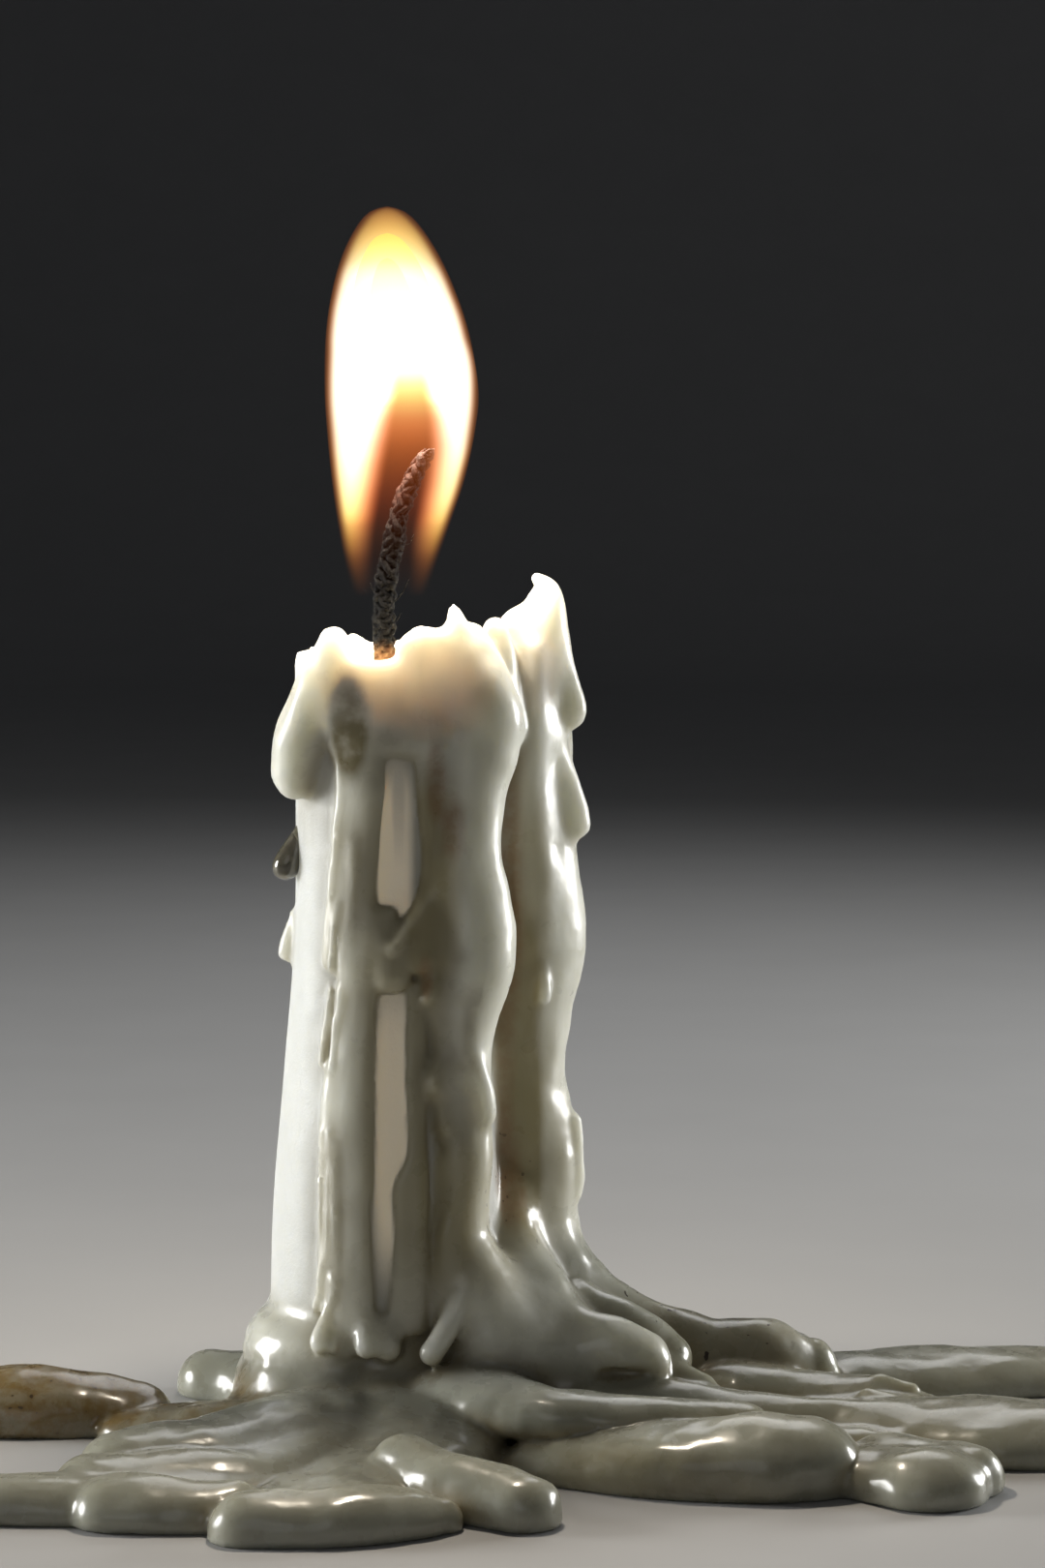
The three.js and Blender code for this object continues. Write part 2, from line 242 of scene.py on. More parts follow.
class WaxField:
    """Signed distances from the wax on a box of cubic cells, in millimetres."""

    FAR = 6.0

    def __init__(self, low: Sequence[float], high: Sequence[float], cell: float) -> None:
        """Make an empty field.

        Args:
            low: The box's lowest corner.
            high: The box's highest corner.
            cell: The side of a cell.
        """
        self.cell = cell
        self.low = np.asarray(low, dtype=float)
        self.counts = np.ceil((np.asarray(high) - self.low) / cell).astype(int) + 1
        self.values = np.full(self.counts, self.FAR, dtype=np.float32)

    def block(self, low: Sequence[float], high: Sequence[float], margin: float = 3.0) -> tuple:
        """Pick the cells in and around a box.

        Args:
            low: The box's lowest corner.
            high: The box's highest corner.
            margin: How far past the box to go.

        Returns:
            The slices of the field, and x, y and z shaped to broadcast over them.
        """
        first = np.floor((np.asarray(low) - margin - self.low) / self.cell).astype(int)
        last = np.ceil((np.asarray(high) + margin - self.low) / self.cell).astype(int) + 1
        first, last = np.maximum(first, 0), np.minimum(last, self.counts)
        window = tuple(slice(a, b) for a, b in zip(first, last))
        x, y, z = (self.low[i] + self.cell * np.arange(first[i], last[i]) for i in range(3))
        return window, x[:, None, None], y[None, :, None], z[None, None, :]

    def join(self, window: tuple, distance: np.ndarray, fillet: float) -> None:
        """Melt a body into the wax: the lower of the two distances, less h^2/4 where they are close.

        Args:
            window: The slices that distance covers.
            distance: The body's distances.
            fillet: How close two surfaces are when they start to run together.
        """
        old = self.values[window]
        h = np.maximum(fillet - np.abs(old - distance), 0) / fillet
        self.values[window] = np.minimum(old, distance) - h * h * fillet / 4

    def carve(self, window: tuple, distance: np.ndarray, fillet: float) -> None:
        """Take a body away from the wax, with a rounded edge.

        Args:
            window: The slices that distance covers.
            distance: The body's distances.
            fillet: How much the edge is rounded.
        """
        old = self.values[window]
        h = np.maximum(fillet - np.abs(old + distance), 0) / fillet
        self.values[window] = np.maximum(old, -distance) + h * h * fillet / 4

    def sample(self, points: np.ndarray) -> np.ndarray:
        """Read the distance at points, straight between the eight cells around each.

        Args:
            points: Places in millimetres, one to a row.

        Returns:
            One distance for each point.
        """
        place = (points - self.low) / self.cell
        corner = np.clip(np.floor(place).astype(int), 0, self.counts - 2)
        part = np.clip(place - corner, 0, 1)
        total = np.zeros(len(points))
        for step in np.ndindex(2, 2, 2):
            index = corner + step
            weight = np.prod(np.where(step, part, 1 - part), axis=1)
            total += weight * self.values[index[:, 0], index[:, 1], index[:, 2]]
        return total

    def surface(self) -> tuple[np.ndarray, np.ndarray]:
        """Draw the surface where the distance is zero.

        Returns:
            The points in millimetres, and the four corners of each face.
        """
        band = 4 * self.cell
        level = openvdb.FloatGrid(band)
        level.copyFromArray(np.clip(self.values, -band, band))
        points, quads = level.convertToQuads(0.0)
        return points * self.cell + self.low, quads


@dataclass(frozen=True)
class BareCandle:
    """The candle as it was cast: a round column that tapers, with a rim and a melted bowl."""

    foot_radius: float = 11.9
    top_radius: float = 9.15
    taper: tuple[float, float] = (14.0, 58.0)
    rim_front: float = 78.0
    rim_rear: float = 80.0
    bowl_radius: float = 7.7
    bowl_floor: float = 74.6

    def radius(self, z: np.ndarray) -> np.ndarray:
        """Give the bare radius at a height, eased from the foot's to the top's."""
        return self.foot_radius + (self.top_radius - self.foot_radius) * ease(*self.taper, z)

    def fill(self, wax: WaxField) -> None:
        """Put the column in, up to a rim that rises to the rear.

        Args:
            wax: The field to fill.
        """
        reach = self.foot_radius
        window, x, y, z = wax.block((-reach, -reach, 0), (reach, reach, self.rim_rear))
        radius = np.hypot(x, y)
        side = radius - self.radius(z)
        angle = np.arctan2(y, x)
        ragged = 0.22 * np.sin(5 * angle + 1.0) + 0.12 * np.sin(11 * angle)
        rim = self.rim_front + (self.rim_rear - self.rim_front) * (1 + np.sin(angle)) / 2 + ragged
        wax.join(window, np.maximum(side, z - rim), 0.01)

    def hollow(self, wax: WaxField) -> None:
        """Carve the bowl that the flame has melted: a deep oval with an upright wall.

        Args:
            wax: The field to carve.
        """
        mouth = 12.0
        reach = self.bowl_radius
        centre = self.bowl_floor + mouth
        window, x, y, z = wax.block((-reach, -reach, self.bowl_floor), (reach, reach, 92.0))
        bowl = oval_distance((x, reach), (y, reach), (z - centre, mouth), 4.0)
        wax.carve(window, np.where(z > centre, np.hypot(x, y) - reach, bowl), 0.9)


class Side(Enum):
    """Which side of the candle a run came down: the sign of y."""

    FRONT = -1
    REAR = 1


@dataclass(frozen=True)
class WallRun:
    """Wax that ran down the bare wall: rows of x, z, half width and thickness, from the top."""

    rows: Rows
    side: Side = Side.FRONT
    fillet: float = 1.1
    power: float = 2.0

    def fill(self, wax: WaxField, candle: BareCandle) -> None:
        """Put the run in: at each level an oval centred on the wall, which faces out from the axis.

        Args:
            wax: The field to fill.
            candle: The candle whose wall it follows.
        """
        path = smooth_rows(self.rows, 8)
        path = path[np.argsort(path[:, 1])]
        low, high = path[0, 1], path[-1, 1]
        turn = np.arcsin(np.clip(path[:, 0] / candle.radius(path[:, 1]), -1, 1))
        reach = candle.radius(low) + path[:, 3].max()
        across = path[:, 2].max() + 1
        window, x, y, z = wax.block(
            (max(path[:, 0].min() - across, -reach), -reach if self.side is Side.FRONT else 0, low),
            (min(path[:, 0].max() + across, reach), 0 if self.side is Side.FRONT else reach, high),
        )
        level = np.clip(z, low, high)
        columns = (turn, path[:, 2], path[:, 3])
        turn, half, thick = (np.interp(level, path[:, 1], column) for column in columns)
        wall = candle.radius(z)
        along = wall * (np.arctan2(x, self.side.value * y) - turn)
        end = np.minimum(half, 1.6 * thick)
        shape = oval_distance((along, half), (np.hypot(x, y) - wall, thick), (z - level, end), self.power)
        wax.join(window, shape, self.fillet)


@dataclass(frozen=True)
class FreeRun:
    """Wax that hangs clear or has built up: a round run with rows of x, y, z and radius."""

    rows: Rows
    fillet: float = 1.4

    def fill(self, wax: WaxField) -> None:
        """Put the run in: the distance from the nearest step of its path, less the radius there.

        Args:
            wax: The field to fill.
        """
        path = smooth_rows(self.rows, 5)
        reach = path[:, 3].max()
        window, x, y, z = wax.block(path[:, :3].min(axis=0) - reach, path[:, :3].max(axis=0) + reach)
        nearest = np.full(np.broadcast(x, y, z).shape, wax.FAR, dtype=np.float32)
        for start, stop in zip(path[:-1], path[1:]):
            wide = max(start[3], stop[3])
            local, x, y, z = wax.block(np.minimum(start, stop)[:3] - wide, np.maximum(start, stop)[:3] + wide)
            inner = tuple(slice(a.start - b.start, a.stop - b.start) for a, b in zip(local, window))
            step = stop - start
            x, y, z = x - start[0], y - start[1], z - start[2]
            share = np.clip((x * step[0] + y * step[1] + z * step[2]) / (step[:3] @ step[:3]), 0, 1)
            away = (x - share * step[0]) ** 2 + (y - share * step[1]) ** 2 + (z - share * step[2]) ** 2
            away = np.sqrt(away) - start[3] - share * step[3]
            nearest[inner] = np.minimum(nearest[inner], away)
        wax.join(window, nearest, self.fillet)


@dataclass(frozen=True)
class Tongue:
    """Wax that ran out over the table: rows of x, y, base, half width and height."""

    rows: Rows
    fillet: float = 0.6
    power: float = 2.2

    def fill(self, wax: WaxField) -> None:
        """Put the tongue in: an oval section carried along its path, with round ends.

        Args:
            wax: The field to fill.
        """
        path = smooth_rows(self.rows, 6)
        reach = path[:, 3].max()
        low = (path[:, 0].min() - reach, path[:, 1].min() - reach, path[:, 2].min())
        high = (path[:, 0].max() + reach, path[:, 1].max() + reach, (path[:, 2] + path[:, 4]).max())
        window, x, y, z = wax.block(low, high)
        x, y = x[:, :, 0], y[:, :, 0]
        nearest = np.full(np.broadcast(x, y).shape, np.inf)
        sizes = np.zeros(nearest.shape + (3,))
        for start, stop in zip(path[:-1], path[1:]):
            step = stop[:2] - start[:2]
            share = ((x - start[0]) * step[0] + (y - start[1]) * step[1]) / (step @ step)
            share = np.clip(share, 0, 1)
            away = np.hypot(x - start[0] - share * step[0], y - start[1] - share * step[1])
            closer = away < nearest
            nearest = np.where(closer, away, nearest)
            here = start[2:] + share[..., None] * (stop[2:] - start[2:])
            sizes = np.where(closer[..., None], here, sizes)
        base, half, height = (sizes[..., i][:, :, None] for i in range(3))
        middle = base + 0.42 * height
        upright = np.where(z > middle, 0.58 * height, 0.5 * height)
        shape = oval_distance((nearest[:, :, None], half), (z - middle, upright), (0 * z, 1.0), self.power)
        wax.join(window, shape, self.fillet)


@dataclass(frozen=True)
class Mound:
    """A low heap of wax: a flattened ball with its centre and half sizes."""

    centre: tuple[float, float, float]
    halves: tuple[float, float, float]
    fillet: float = 3.0

    def shape(self, wax: WaxField) -> tuple[tuple, np.ndarray]:
        """Measure the ball.

        Args:
            wax: The field that it goes in.

        Returns:
            The slices of the field around it, and the distances there.
        """
        window, x, y, z = wax.block(np.subtract(self.centre, self.halves), np.add(self.centre, self.halves))
        offsets = (x - self.centre[0], y - self.centre[1], z - self.centre[2])
        return window, oval_distance(*zip(offsets, self.halves), 2.0)

    def fill(self, wax: WaxField) -> None:
        """Put the heap in."""
        wax.join(*self.shape(wax), self.fillet)

    def cut(self, wax: WaxField) -> None:
        """Take the ball away instead."""
        wax.carve(*self.shape(wax), self.fillet)


# ---------------------------------------------------------------- finishes


class Nodes:
    """A small helper that adds shader nodes and links them."""

    def __init__(self, name: str) -> None:
        """Start a material with an empty tree.

        Args:
            name: The material's name.
        """
        self.material = bpy.data.materials.new(name)
        self.material.use_nodes = True
        self.tree = self.material.node_tree
        self.tree.nodes.clear()
        self.output = self.tree.nodes.new("ShaderNodeOutputMaterial")
        self.place = self.tree.nodes.new("ShaderNodeTexCoord").outputs["Object"]

    def put(self, socket: bpy.types.NodeSocket, value: object) -> None:
        """Link a socket to a socket, or set it to a plain value."""
        if isinstance(value, bpy.types.NodeSocket):
            self.tree.links.new(value, socket)
        else:
            socket.default_value = value

    def add(self, kind: str, **inputs: object) -> bpy.types.Node:
        """Add a node and fill its inputs by name, with underscores for spaces.

        Args:
            kind: The node's type after "ShaderNode".
            **inputs: Values or sockets.

        Returns:
            The node.
        """
        node = self.tree.nodes.new("ShaderNode" + kind)
        for key, value in inputs.items():
            self.put(node.inputs[key.replace("_", " ")], value)
        return node

    def number(self, name: str) -> bpy.types.NodeSocket:
        """Read a number stored at the vertices."""
        node = self.add("Attribute")
        node.attribute_name = name
        return node.outputs["Fac"]

    def noise(self, size_mm: float, detail: float = 3.0, rough: float = 0.5) -> bpy.types.NodeSocket:
        """Add soft noise whose features are about size_mm across.

        Args:
            size_mm: The size of a feature.
            detail: How many finer layers are added.
            rough: How strong the finer layers are.

        Returns:
            The noise, from 0 to 1.
        """
        node = self.add("TexNoise", Vector=self.place, Scale=1 / (size_mm * MM), Detail=detail,
                        Roughness=rough)
        return node.outputs["Fac"]

    def math(self, how: str, a: object, b: object = 0.0) -> bpy.types.NodeSocket:
        """Do one sum on two numbers."""
        node = self.tree.nodes.new("ShaderNodeMath")
        node.operation = how
        self.put(node.inputs[0], a)
        self.put(node.inputs[1], b)
        return node.outputs[0]

    def span(self, value: object, low: float, high: float, to_low: float = 0.0,
             to_high: float = 1.0) -> bpy.types.NodeSocket:
        """Carry a range of numbers to another range, smoothly and clamped.

        Args:
            value: The number.
            low: The range's start.
            high: The range's end.
            to_low: What the start becomes.
            to_high: What the end becomes.

        Returns:
            The result's socket.
        """
        node = self.tree.nodes.new("ShaderNodeMapRange")
        node.interpolation_type = "SMOOTHSTEP"
        for index, item in enumerate((value, low, high, to_low, to_high)):
            self.put(node.inputs[index], item)
        return node.outputs[0]

    def blend(self, share: object, a: object, b: object) -> bpy.types.NodeSocket:
        """Mix two colours by a share from 0, all a, to 1, all b."""
        node = self.tree.nodes.new("ShaderNodeMix")
        node.data_type = "RGBA"
        self.put(node.inputs["Factor"], share)
        for socket, value in ((node.inputs[6], a), (node.inputs[7], b)):
            self.put(socket, (*value, 1.0) if isinstance(value, tuple) else value)
        return node.outputs[2]

    def curve(self, value: object, points: Sequence[tuple[float, float]]) -> bpy.types.NodeSocket:
        """Read a curve drawn through given points.

        Args:
            value: Where to read, from 0 to 1.
            points: The curve's points, in order.

        Returns:
            The curve's height there.
        """
        low = min(height for _, height in points)
        high = max(height for _, height in points)
        node = self.add("FloatCurve", Value=value)
        drawn = node.mapping.curves[0]
        while len(drawn.points) < len(points):
            drawn.points.new(0.5, 0.5)
        for point, (at, height) in zip(drawn.points, points):
            point.location = (at, (height - low) / (high - low))
            point.handle_type = "AUTO_CLAMPED"
        node.mapping.update()
        return self.math("ADD", self.math("MULTIPLY", node.outputs[0], high - low), low)

    def bump(self, height: object, depth_mm: float, under: object = None) -> bpy.types.NodeSocket:
        """Turn a height from 0 to 1 into a bumped normal.

        Args:
            height: The height's socket.
            depth_mm: How deep the whole range is.
            under: A normal that this one is added to.

        Returns:
            The normal's socket.
        """
        node = self.add("Bump", Strength=1.0, Distance=depth_mm * MM, Height=height)
        if under is not None:
            self.put(node.inputs["Normal"], under)
        return node.outputs["Normal"]

    def both(self, a: bpy.types.NodeSocket, b: bpy.types.NodeSocket) -> bpy.types.NodeSocket:
        """Add two shaders."""
        node = self.tree.nodes.new("ShaderNodeAddShader")
        self.put(node.inputs[0], a)
        self.put(node.inputs[1], b)
        return node.outputs[0]

    def finish(self, surface: bpy.types.NodeSocket) -> bpy.types.Material:
        """Link the surface and hand over the material."""
        self.put(self.output.inputs["Surface"], surface)
        return self.material


@dataclass(frozen=True)
class WaxFinish:
    """Ivory paraffin: frosted where it was cast and glossy where it ran. Its colour carries warm painted
    shade in its hollows, painted shade on its front and over the pool, painted light on the bare strips, and
    painted flame light and glow near the top.
    """

    ivory: tuple[float, float, float] = (0.80, 0.795, 0.70)
    cloudy: tuple[float, float, float] = (0.72, 0.715, 0.61)
    frost: tuple[float, float, float] = (0.77, 0.78, 0.745)
    # painted shade: the warm dark colour laid into hollows and crevices, where shade falls
    hollow: tuple[float, float, float] = (0.30, 0.26, 0.17)
    # painted shade: the dark olive-brown laid over the front bands, the valleys and the column's lower front,
    # which the side lights leave in shade
    shade: tuple[float, float, float] = (0.40, 0.355, 0.215)
    # painted light: the pale colour on the bare strips between the bands, standing for light through the wax
    strip: tuple[float, float, float] = (0.90, 0.84, 0.70)
    # painted light: the warm tint near the rim and on the crest, standing for the flame's light through the
    # wax
    warm_light: tuple[float, float, float] = (0.80, 0.71, 0.59)
    # a real olive-brown stain on the collar, and painted shade under the collar and on the front of a pool
    # lobe
    olive_stain_and_shade: tuple[float, float, float] = (0.17, 0.142, 0.07)
    # painted shade: the grey that darkens the pool and the slope at the foot, which lie less lit
    low_shade: tuple[float, float, float] = (0.27, 0.27, 0.215)
    amber: tuple[float, float, float] = (0.19, 0.13, 0.048)
    rust: tuple[float, float, float] = (0.30, 0.14, 0.045)
    soot: tuple[float, float, float] = (0.035, 0.022, 0.015)
    # painted glow: emission on the wax near the rim, on the crest and on the bare strips, standing for the
    # flame's light
    lit: tuple[float, float, float] = (1.0, 0.84, 0.62)
    lit_strength: float = 0.45
    depth_mm: float = 4.5
    subsurface: float = 0.85
    # the depths of the cast wax's grain and of the run wax's slow swell
    grain_mm: float = 0.04
    swell_mm: float = 0.16

    def material(self) -> bpy.types.Material:
        """Build the material.

        Returns:
            A Principled material with subsurface light.
        """
        n = Nodes("wax")
        bare = n.number("bare")
        cloud = n.noise(9.0, 4.0)
        colour = n.blend(n.span(cloud, 0.35, 0.7, 0.0, 0.35), self.ivory, self.cloudy)
        colour = n.blend(bare, colour, self.frost)
        # painted shade on the front and in the valleys
        colour = n.blend(n.number("shade"), colour, self.shade)
        # painted shade over the pool and the slope at the foot
        colour = n.blend(n.number("low_shade"), colour, self.low_shade)
        # painted flame light near the top
        colour = n.blend(n.number("warm_light"), colour, self.warm_light)
        patch = n.span(n.noise(2.6, 3.0), 0.25, 0.6, 0.55, 1.0)
        # the olive stain and painted shade
        colour = n.blend(n.math("MULTIPLY", n.number("olive_stain_and_shade"), patch), colour, self.olive_stain_and_shade)
        # painted shade in the hollows
        colour = n.blend(n.math("MULTIPLY", n.number("hollow"), 0.85), colour, self.hollow)
        # painted light on the bare strips
        colour = n.blend(n.number("strip"), colour, self.strip)
        mottle = n.span(n.noise(1.8, 5.0, 0.65), 0.36, 0.62, 0.55, 1.0)
        colour = n.blend(n.math("MULTIPLY", n.number("amber"), mottle), colour, self.amber)
        colour = n.blend(n.math("MULTIPLY", n.number("rust"), mottle), colour, self.rust)
        specks = n.span(n.noise(0.9, 1.0, 0.3), 0.715, 0.735)
        colour = n.blend(n.math("MULTIPLY", n.number("dirt"), specks), colour, self.soot)
        wet = n.number("wet")
        rough = n.span(n.noise(2.4, 4.0), 0.3, 0.7, 0.28, 0.44)
        rough = n.math("ADD", rough, n.math("MULTIPLY", bare, 0.16))
        rough = n.math("SUBTRACT", rough, n.math("MULTIPLY", wet, 0.08))
        grain = n.math("MULTIPLY", n.noise(0.32, 2.0, 0.6), bare)
        normal = n.bump(grain, self.grain_mm)
        normal = n.bump(n.noise(3.2, 2.0, 0.4), self.swell_mm, normal)
        wet = n.math("MULTIPLY", n.math("SUBTRACT", 1.0, bare), n.math("MULTIPLY", wet, 0.6))
        clear = n.math("SUBTRACT", 1.0, n.math("MULTIPLY", n.number("olive_stain_and_shade"), 0.8))
        # painted glow, held back where the olive stain and shade lie
        glow = n.math("MULTIPLY", n.number("glow"), clear)
        shader = n.add(
            "BsdfPrincipled", Base_Color=colour, Roughness=rough, Normal=normal, IOR=1.44,
            Subsurface_Weight=self.subsurface, Subsurface_Radius=(1.0, 0.97, 0.88),
            Subsurface_Scale=self.depth_mm * MM, Coat_Weight=wet, Coat_Roughness=0.15, Coat_IOR=1.44,
            Emission_Color=n.blend(glow, (0.0, 0.0, 0.0), self.lit), Emission_Strength=self.lit_strength,
        )
        return n.finish(shader.outputs[0])


@dataclass(frozen=True)
class ClearWaxFinish:
    """A bead of wax still melted: clear and wet, with painted darkness in its colour that stands for dark
    surroundings seen through it.
    """

    # painted darkness: dark tints that stand for the surroundings seen through the clear wax
    tint: tuple[float, float, float] = (0.16, 0.145, 0.105)
    paler: tuple[float, float, float] = (0.24, 0.22, 0.17)

    def material(self) -> bpy.types.Material:
        """Build the material.

        Returns:
            A mostly see-through Principled material.
        """
        n = Nodes("clear_wax")
        colour = n.blend(n.span(n.noise(0.9, 2.0), 0.3, 0.7), self.tint, self.paler)
        normal = n.bump(n.noise(1.2, 1.0), 0.05)
        shader = n.add(
            "BsdfPrincipled", Base_Color=colour, Roughness=0.06, Normal=normal, IOR=1.44,
            Transmission_Weight=0.55, Coat_Weight=0.6, Coat_Roughness=0.03,
        )
        return n.finish(shader.outputs[0])


@dataclass(frozen=True)
class WickFinish:
    """Cotton that is straw brown at the wax, charred black above and red-brown at its tip."""

    straw: tuple[float, float, float] = (0.42, 0.24, 0.11)
    soaked: tuple[float, float, float] = (0.24, 0.11, 0.05)
    char: tuple[float, float, float] = (0.0035, 0.003, 0.003)
    ember: tuple[float, float, float] = (0.030, 0.009, 0.005)
    straw_top: float = 79.2
    char_low: float = 81.5
    ember_low: float = 92.0
    ember_top: float = 97.0

    def material(self) -> bpy.types.Material:
        """Build the material.

        Returns:
            A dull Principled material with a fibrous bump.
        """
        n = Nodes("wick")
        height = n.add("SeparateXYZ", Vector=n.place).outputs["Z"]
        ragged = n.math("ADD", height, n.math("MULTIPLY", n.noise(0.8, 3.0), 1.6 * MM))
        burnt = n.span(ragged, self.straw_top * MM, self.char_low * MM)
        colour = n.blend(n.span(n.noise(0.5, 4.0), 0.3, 0.7), self.straw, self.soaked)
        colour = n.blend(burnt, colour, self.char)
        warm = n.math("MULTIPLY", n.span(ragged, self.ember_low * MM, self.ember_top * MM),
                      n.span(n.noise(0.6, 3.0), 0.3, 0.6, 0.45, 1.0))
        colour = n.blend(warm, colour, self.ember)
        normal = n.bump(n.noise(0.22, 5.0, 0.7), 0.16)
        rough = n.span(n.noise(0.5, 3.0), 0.3, 0.7, 0.5, 0.85)
        shader = n.add("BsdfPrincipled", Base_Color=colour, Roughness=rough, Normal=normal,
                       Specular_IOR_Level=0.18)
        return n.finish(shader.outputs[0])


@dataclass(frozen=True)
class FlameFinish:
    """Glowing gas. The skins carry a faint veil, and the gas inside the outline glows by its place.

    To either side of the wick the gas burns bright. In the middle it is dark and smoky low down, and
    above the wick's tip the two sides close into one bright body. Both sets of rows are height, glow
    for each millimetre, and the shares of green and blue in the light.
    """

    outline: Rows
    cone: Rows
    base: float
    top: float
    sides: Rows = ((85.2, 0.004, 0.30, 0.05), (87.5, 0.035, 0.33, 0.06), (90.0, 0.13, 0.48, 0.09),
                   (92.0, 0.24, 0.64, 0.16), (94.0, 0.34, 0.80, 0.30), (98.0, 0.36, 0.88, 0.50),
                   (102.0, 0.30, 0.90, 0.66), (110.0, 0.30, 0.92, 0.72), (116.0, 0.28, 0.90, 0.64),
                   (119.0, 0.20, 0.78, 0.36), (121.5, 0.16, 0.64, 0.18), (124.2, 0.12, 0.45, 0.10))
    middle: Rows = ((85.2, 0.0, 0.30, 0.06), (90.0, 0.003, 0.30, 0.10), (94.0, 0.009, 0.18, 0.05),
                    (98.0, 0.023, 0.22, 0.05), (101.5, 0.046, 0.27, 0.065), (104.0, 0.066, 0.50, 0.14),
                    (105.5, 0.085, 0.76, 0.24), (107.5, 0.16, 0.90, 0.50), (110.0, 0.30, 0.92, 0.72),
                    (116.0, 0.28, 0.90, 0.64), (119.0, 0.20, 0.78, 0.36), (121.5, 0.16, 0.64, 0.18),
                    (124.2, 0.12, 0.45, 0.10))
    fringe: tuple[float, float, float] = (1.0, 0.34, 0.08)
    skin: tuple[float, float, float] = (0.95, 0.26, 0.03)
    hot_skin: tuple[float, float, float] = (1.0, 0.86, 0.52)
    # what the smoke takes for each millimetre, and the length of a step through the gas
    smoke: float = 0.05
    step: float = 0.10

    def skin_material(self) -> bpy.types.Material:
        """Build the veil on the skins, by the heat and veil stored at their vertices.

        Returns:
            A glowing Principled material that is mostly clear.
        """
        n = Nodes("flame_skin")
        colour = n.blend(n.number("heat"), self.skin, self.hot_skin)
        shader = n.add(
            "BsdfPrincipled", Base_Color=(0.0, 0.0, 0.0, 1.0), Roughness=1.0, Specular_IOR_Level=0.0,
            Alpha=n.number("veil"), Emission_Color=colour, Emission_Strength=2.6,
        )
        material = n.finish(shader.outputs[0])
        material.cycles.emission_sampling = "NONE"
        return material

    def gas_material(self) -> bpy.types.Material:
        """Build the glowing gas, with the outline's faint skin round it.

        The depth under the outline is its radius at a height less the distance from its middle. The
        share that belongs to the sides is the distance across from the cone's middle, over its half width.

        Returns:
            A material with a clear surface and a glowing volume.
        """
        n = Nodes("flame_gas")
        scaled = n.tree.nodes.new("ShaderNodeVectorMath")
        scaled.operation = "SCALE"
        n.put(scaled.inputs[0], n.place)
        scaled.inputs["Scale"].default_value = 1 / MM
        x, y, z = n.add("SeparateXYZ", Vector=scaled.outputs[0]).outputs
        share = n.math("DIVIDE", n.math("SUBTRACT", z, self.base), self.top - self.base)

        def level(rows: Rows, column: int) -> bpy.types.NodeSocket:
            """Read one column of rows by height."""
            height = self.top - self.base
            return n.curve(share, [((row[0] - self.base) / height, row[column]) for row in rows])

        def colour(rows: Rows) -> bpy.types.NodeSocket:
            """Give the colour that rows describe."""
            return n.add("CombineColor", Red=1.0, Green=level(rows, 2), Blue=level(rows, 3)).outputs[0]

        off = n.math("SUBTRACT", x, level(self.outline, 1))
        away = n.math("SQRT", n.math("ADD", n.math("MULTIPLY", off, off), n.math("MULTIPLY", y, y)))
        depth = n.math("SUBTRACT", level(self.outline, 2), away)
        across = n.math("ABSOLUTE", n.math("SUBTRACT", x, level(self.cone, 1)))
        side = n.span(n.math("DIVIDE", across, level(self.cone, 2)), 0.45, 1.45)
        low, high = level(self.middle, 1), level(self.sides, 1)
        glow = n.math("ADD", low, n.math("MULTIPLY", n.math("SUBTRACT", high, low), side))
        glow = n.math("MULTIPLY", glow, n.span(depth, -0.1, 1.1))
        tint = n.blend(side, colour(self.middle), colour(self.sides))
        fire = n.add("Emission", Color=n.blend(n.span(depth, 0.0, 0.9), self.fringe, tint),
                     Strength=n.math("MULTIPLY", glow, 1 / MM))
        dark = n.math("MULTIPLY", n.span(z, 85.5, 90.0), n.span(z, 98.0, 104.0, self.smoke / MM, 0.0))
        soot = n.add("VolumeAbsorption", Color=(0.30, 0.12, 0.06, 1.0), Density=dark)
        n.put(n.output.inputs["Volume"], n.both(fire.outputs[0], soot.outputs[0]))
        shader = n.add(
            "BsdfPrincipled", Base_Color=(0.0, 0.0, 0.0, 1.0), Roughness=1.0, Specular_IOR_Level=0.0,
            Alpha=n.number("veil"), Emission_Color=(0.90, 0.24, 0.03, 1.0), Emission_Strength=0.8,
        )
        material = n.finish(shader.outputs[0])
        material.cycles.emission_sampling = "NONE"
        material.cycles.volume_step_rate = self.step
        return material


@dataclass(frozen=True)
class FloorFinish:
    """A plain pale table top."""

    pale: tuple[float, float, float] = (0.42, 0.42, 0.42)
    paler: tuple[float, float, float] = (0.46, 0.46, 0.46)

    def material(self) -> bpy.types.Material:
        """Build the material.

        Returns:
            A matt Principled material with a faint mottle.
        """
        n = Nodes("floor")
        colour = n.blend(n.noise(30.0, 3.0), self.pale, self.paler)
        shader = n.add("BsdfPrincipled", Base_Color=colour, Roughness=0.6)
        return n.finish(shader.outputs[0])


# ---------------------------------------------------------------- the wax


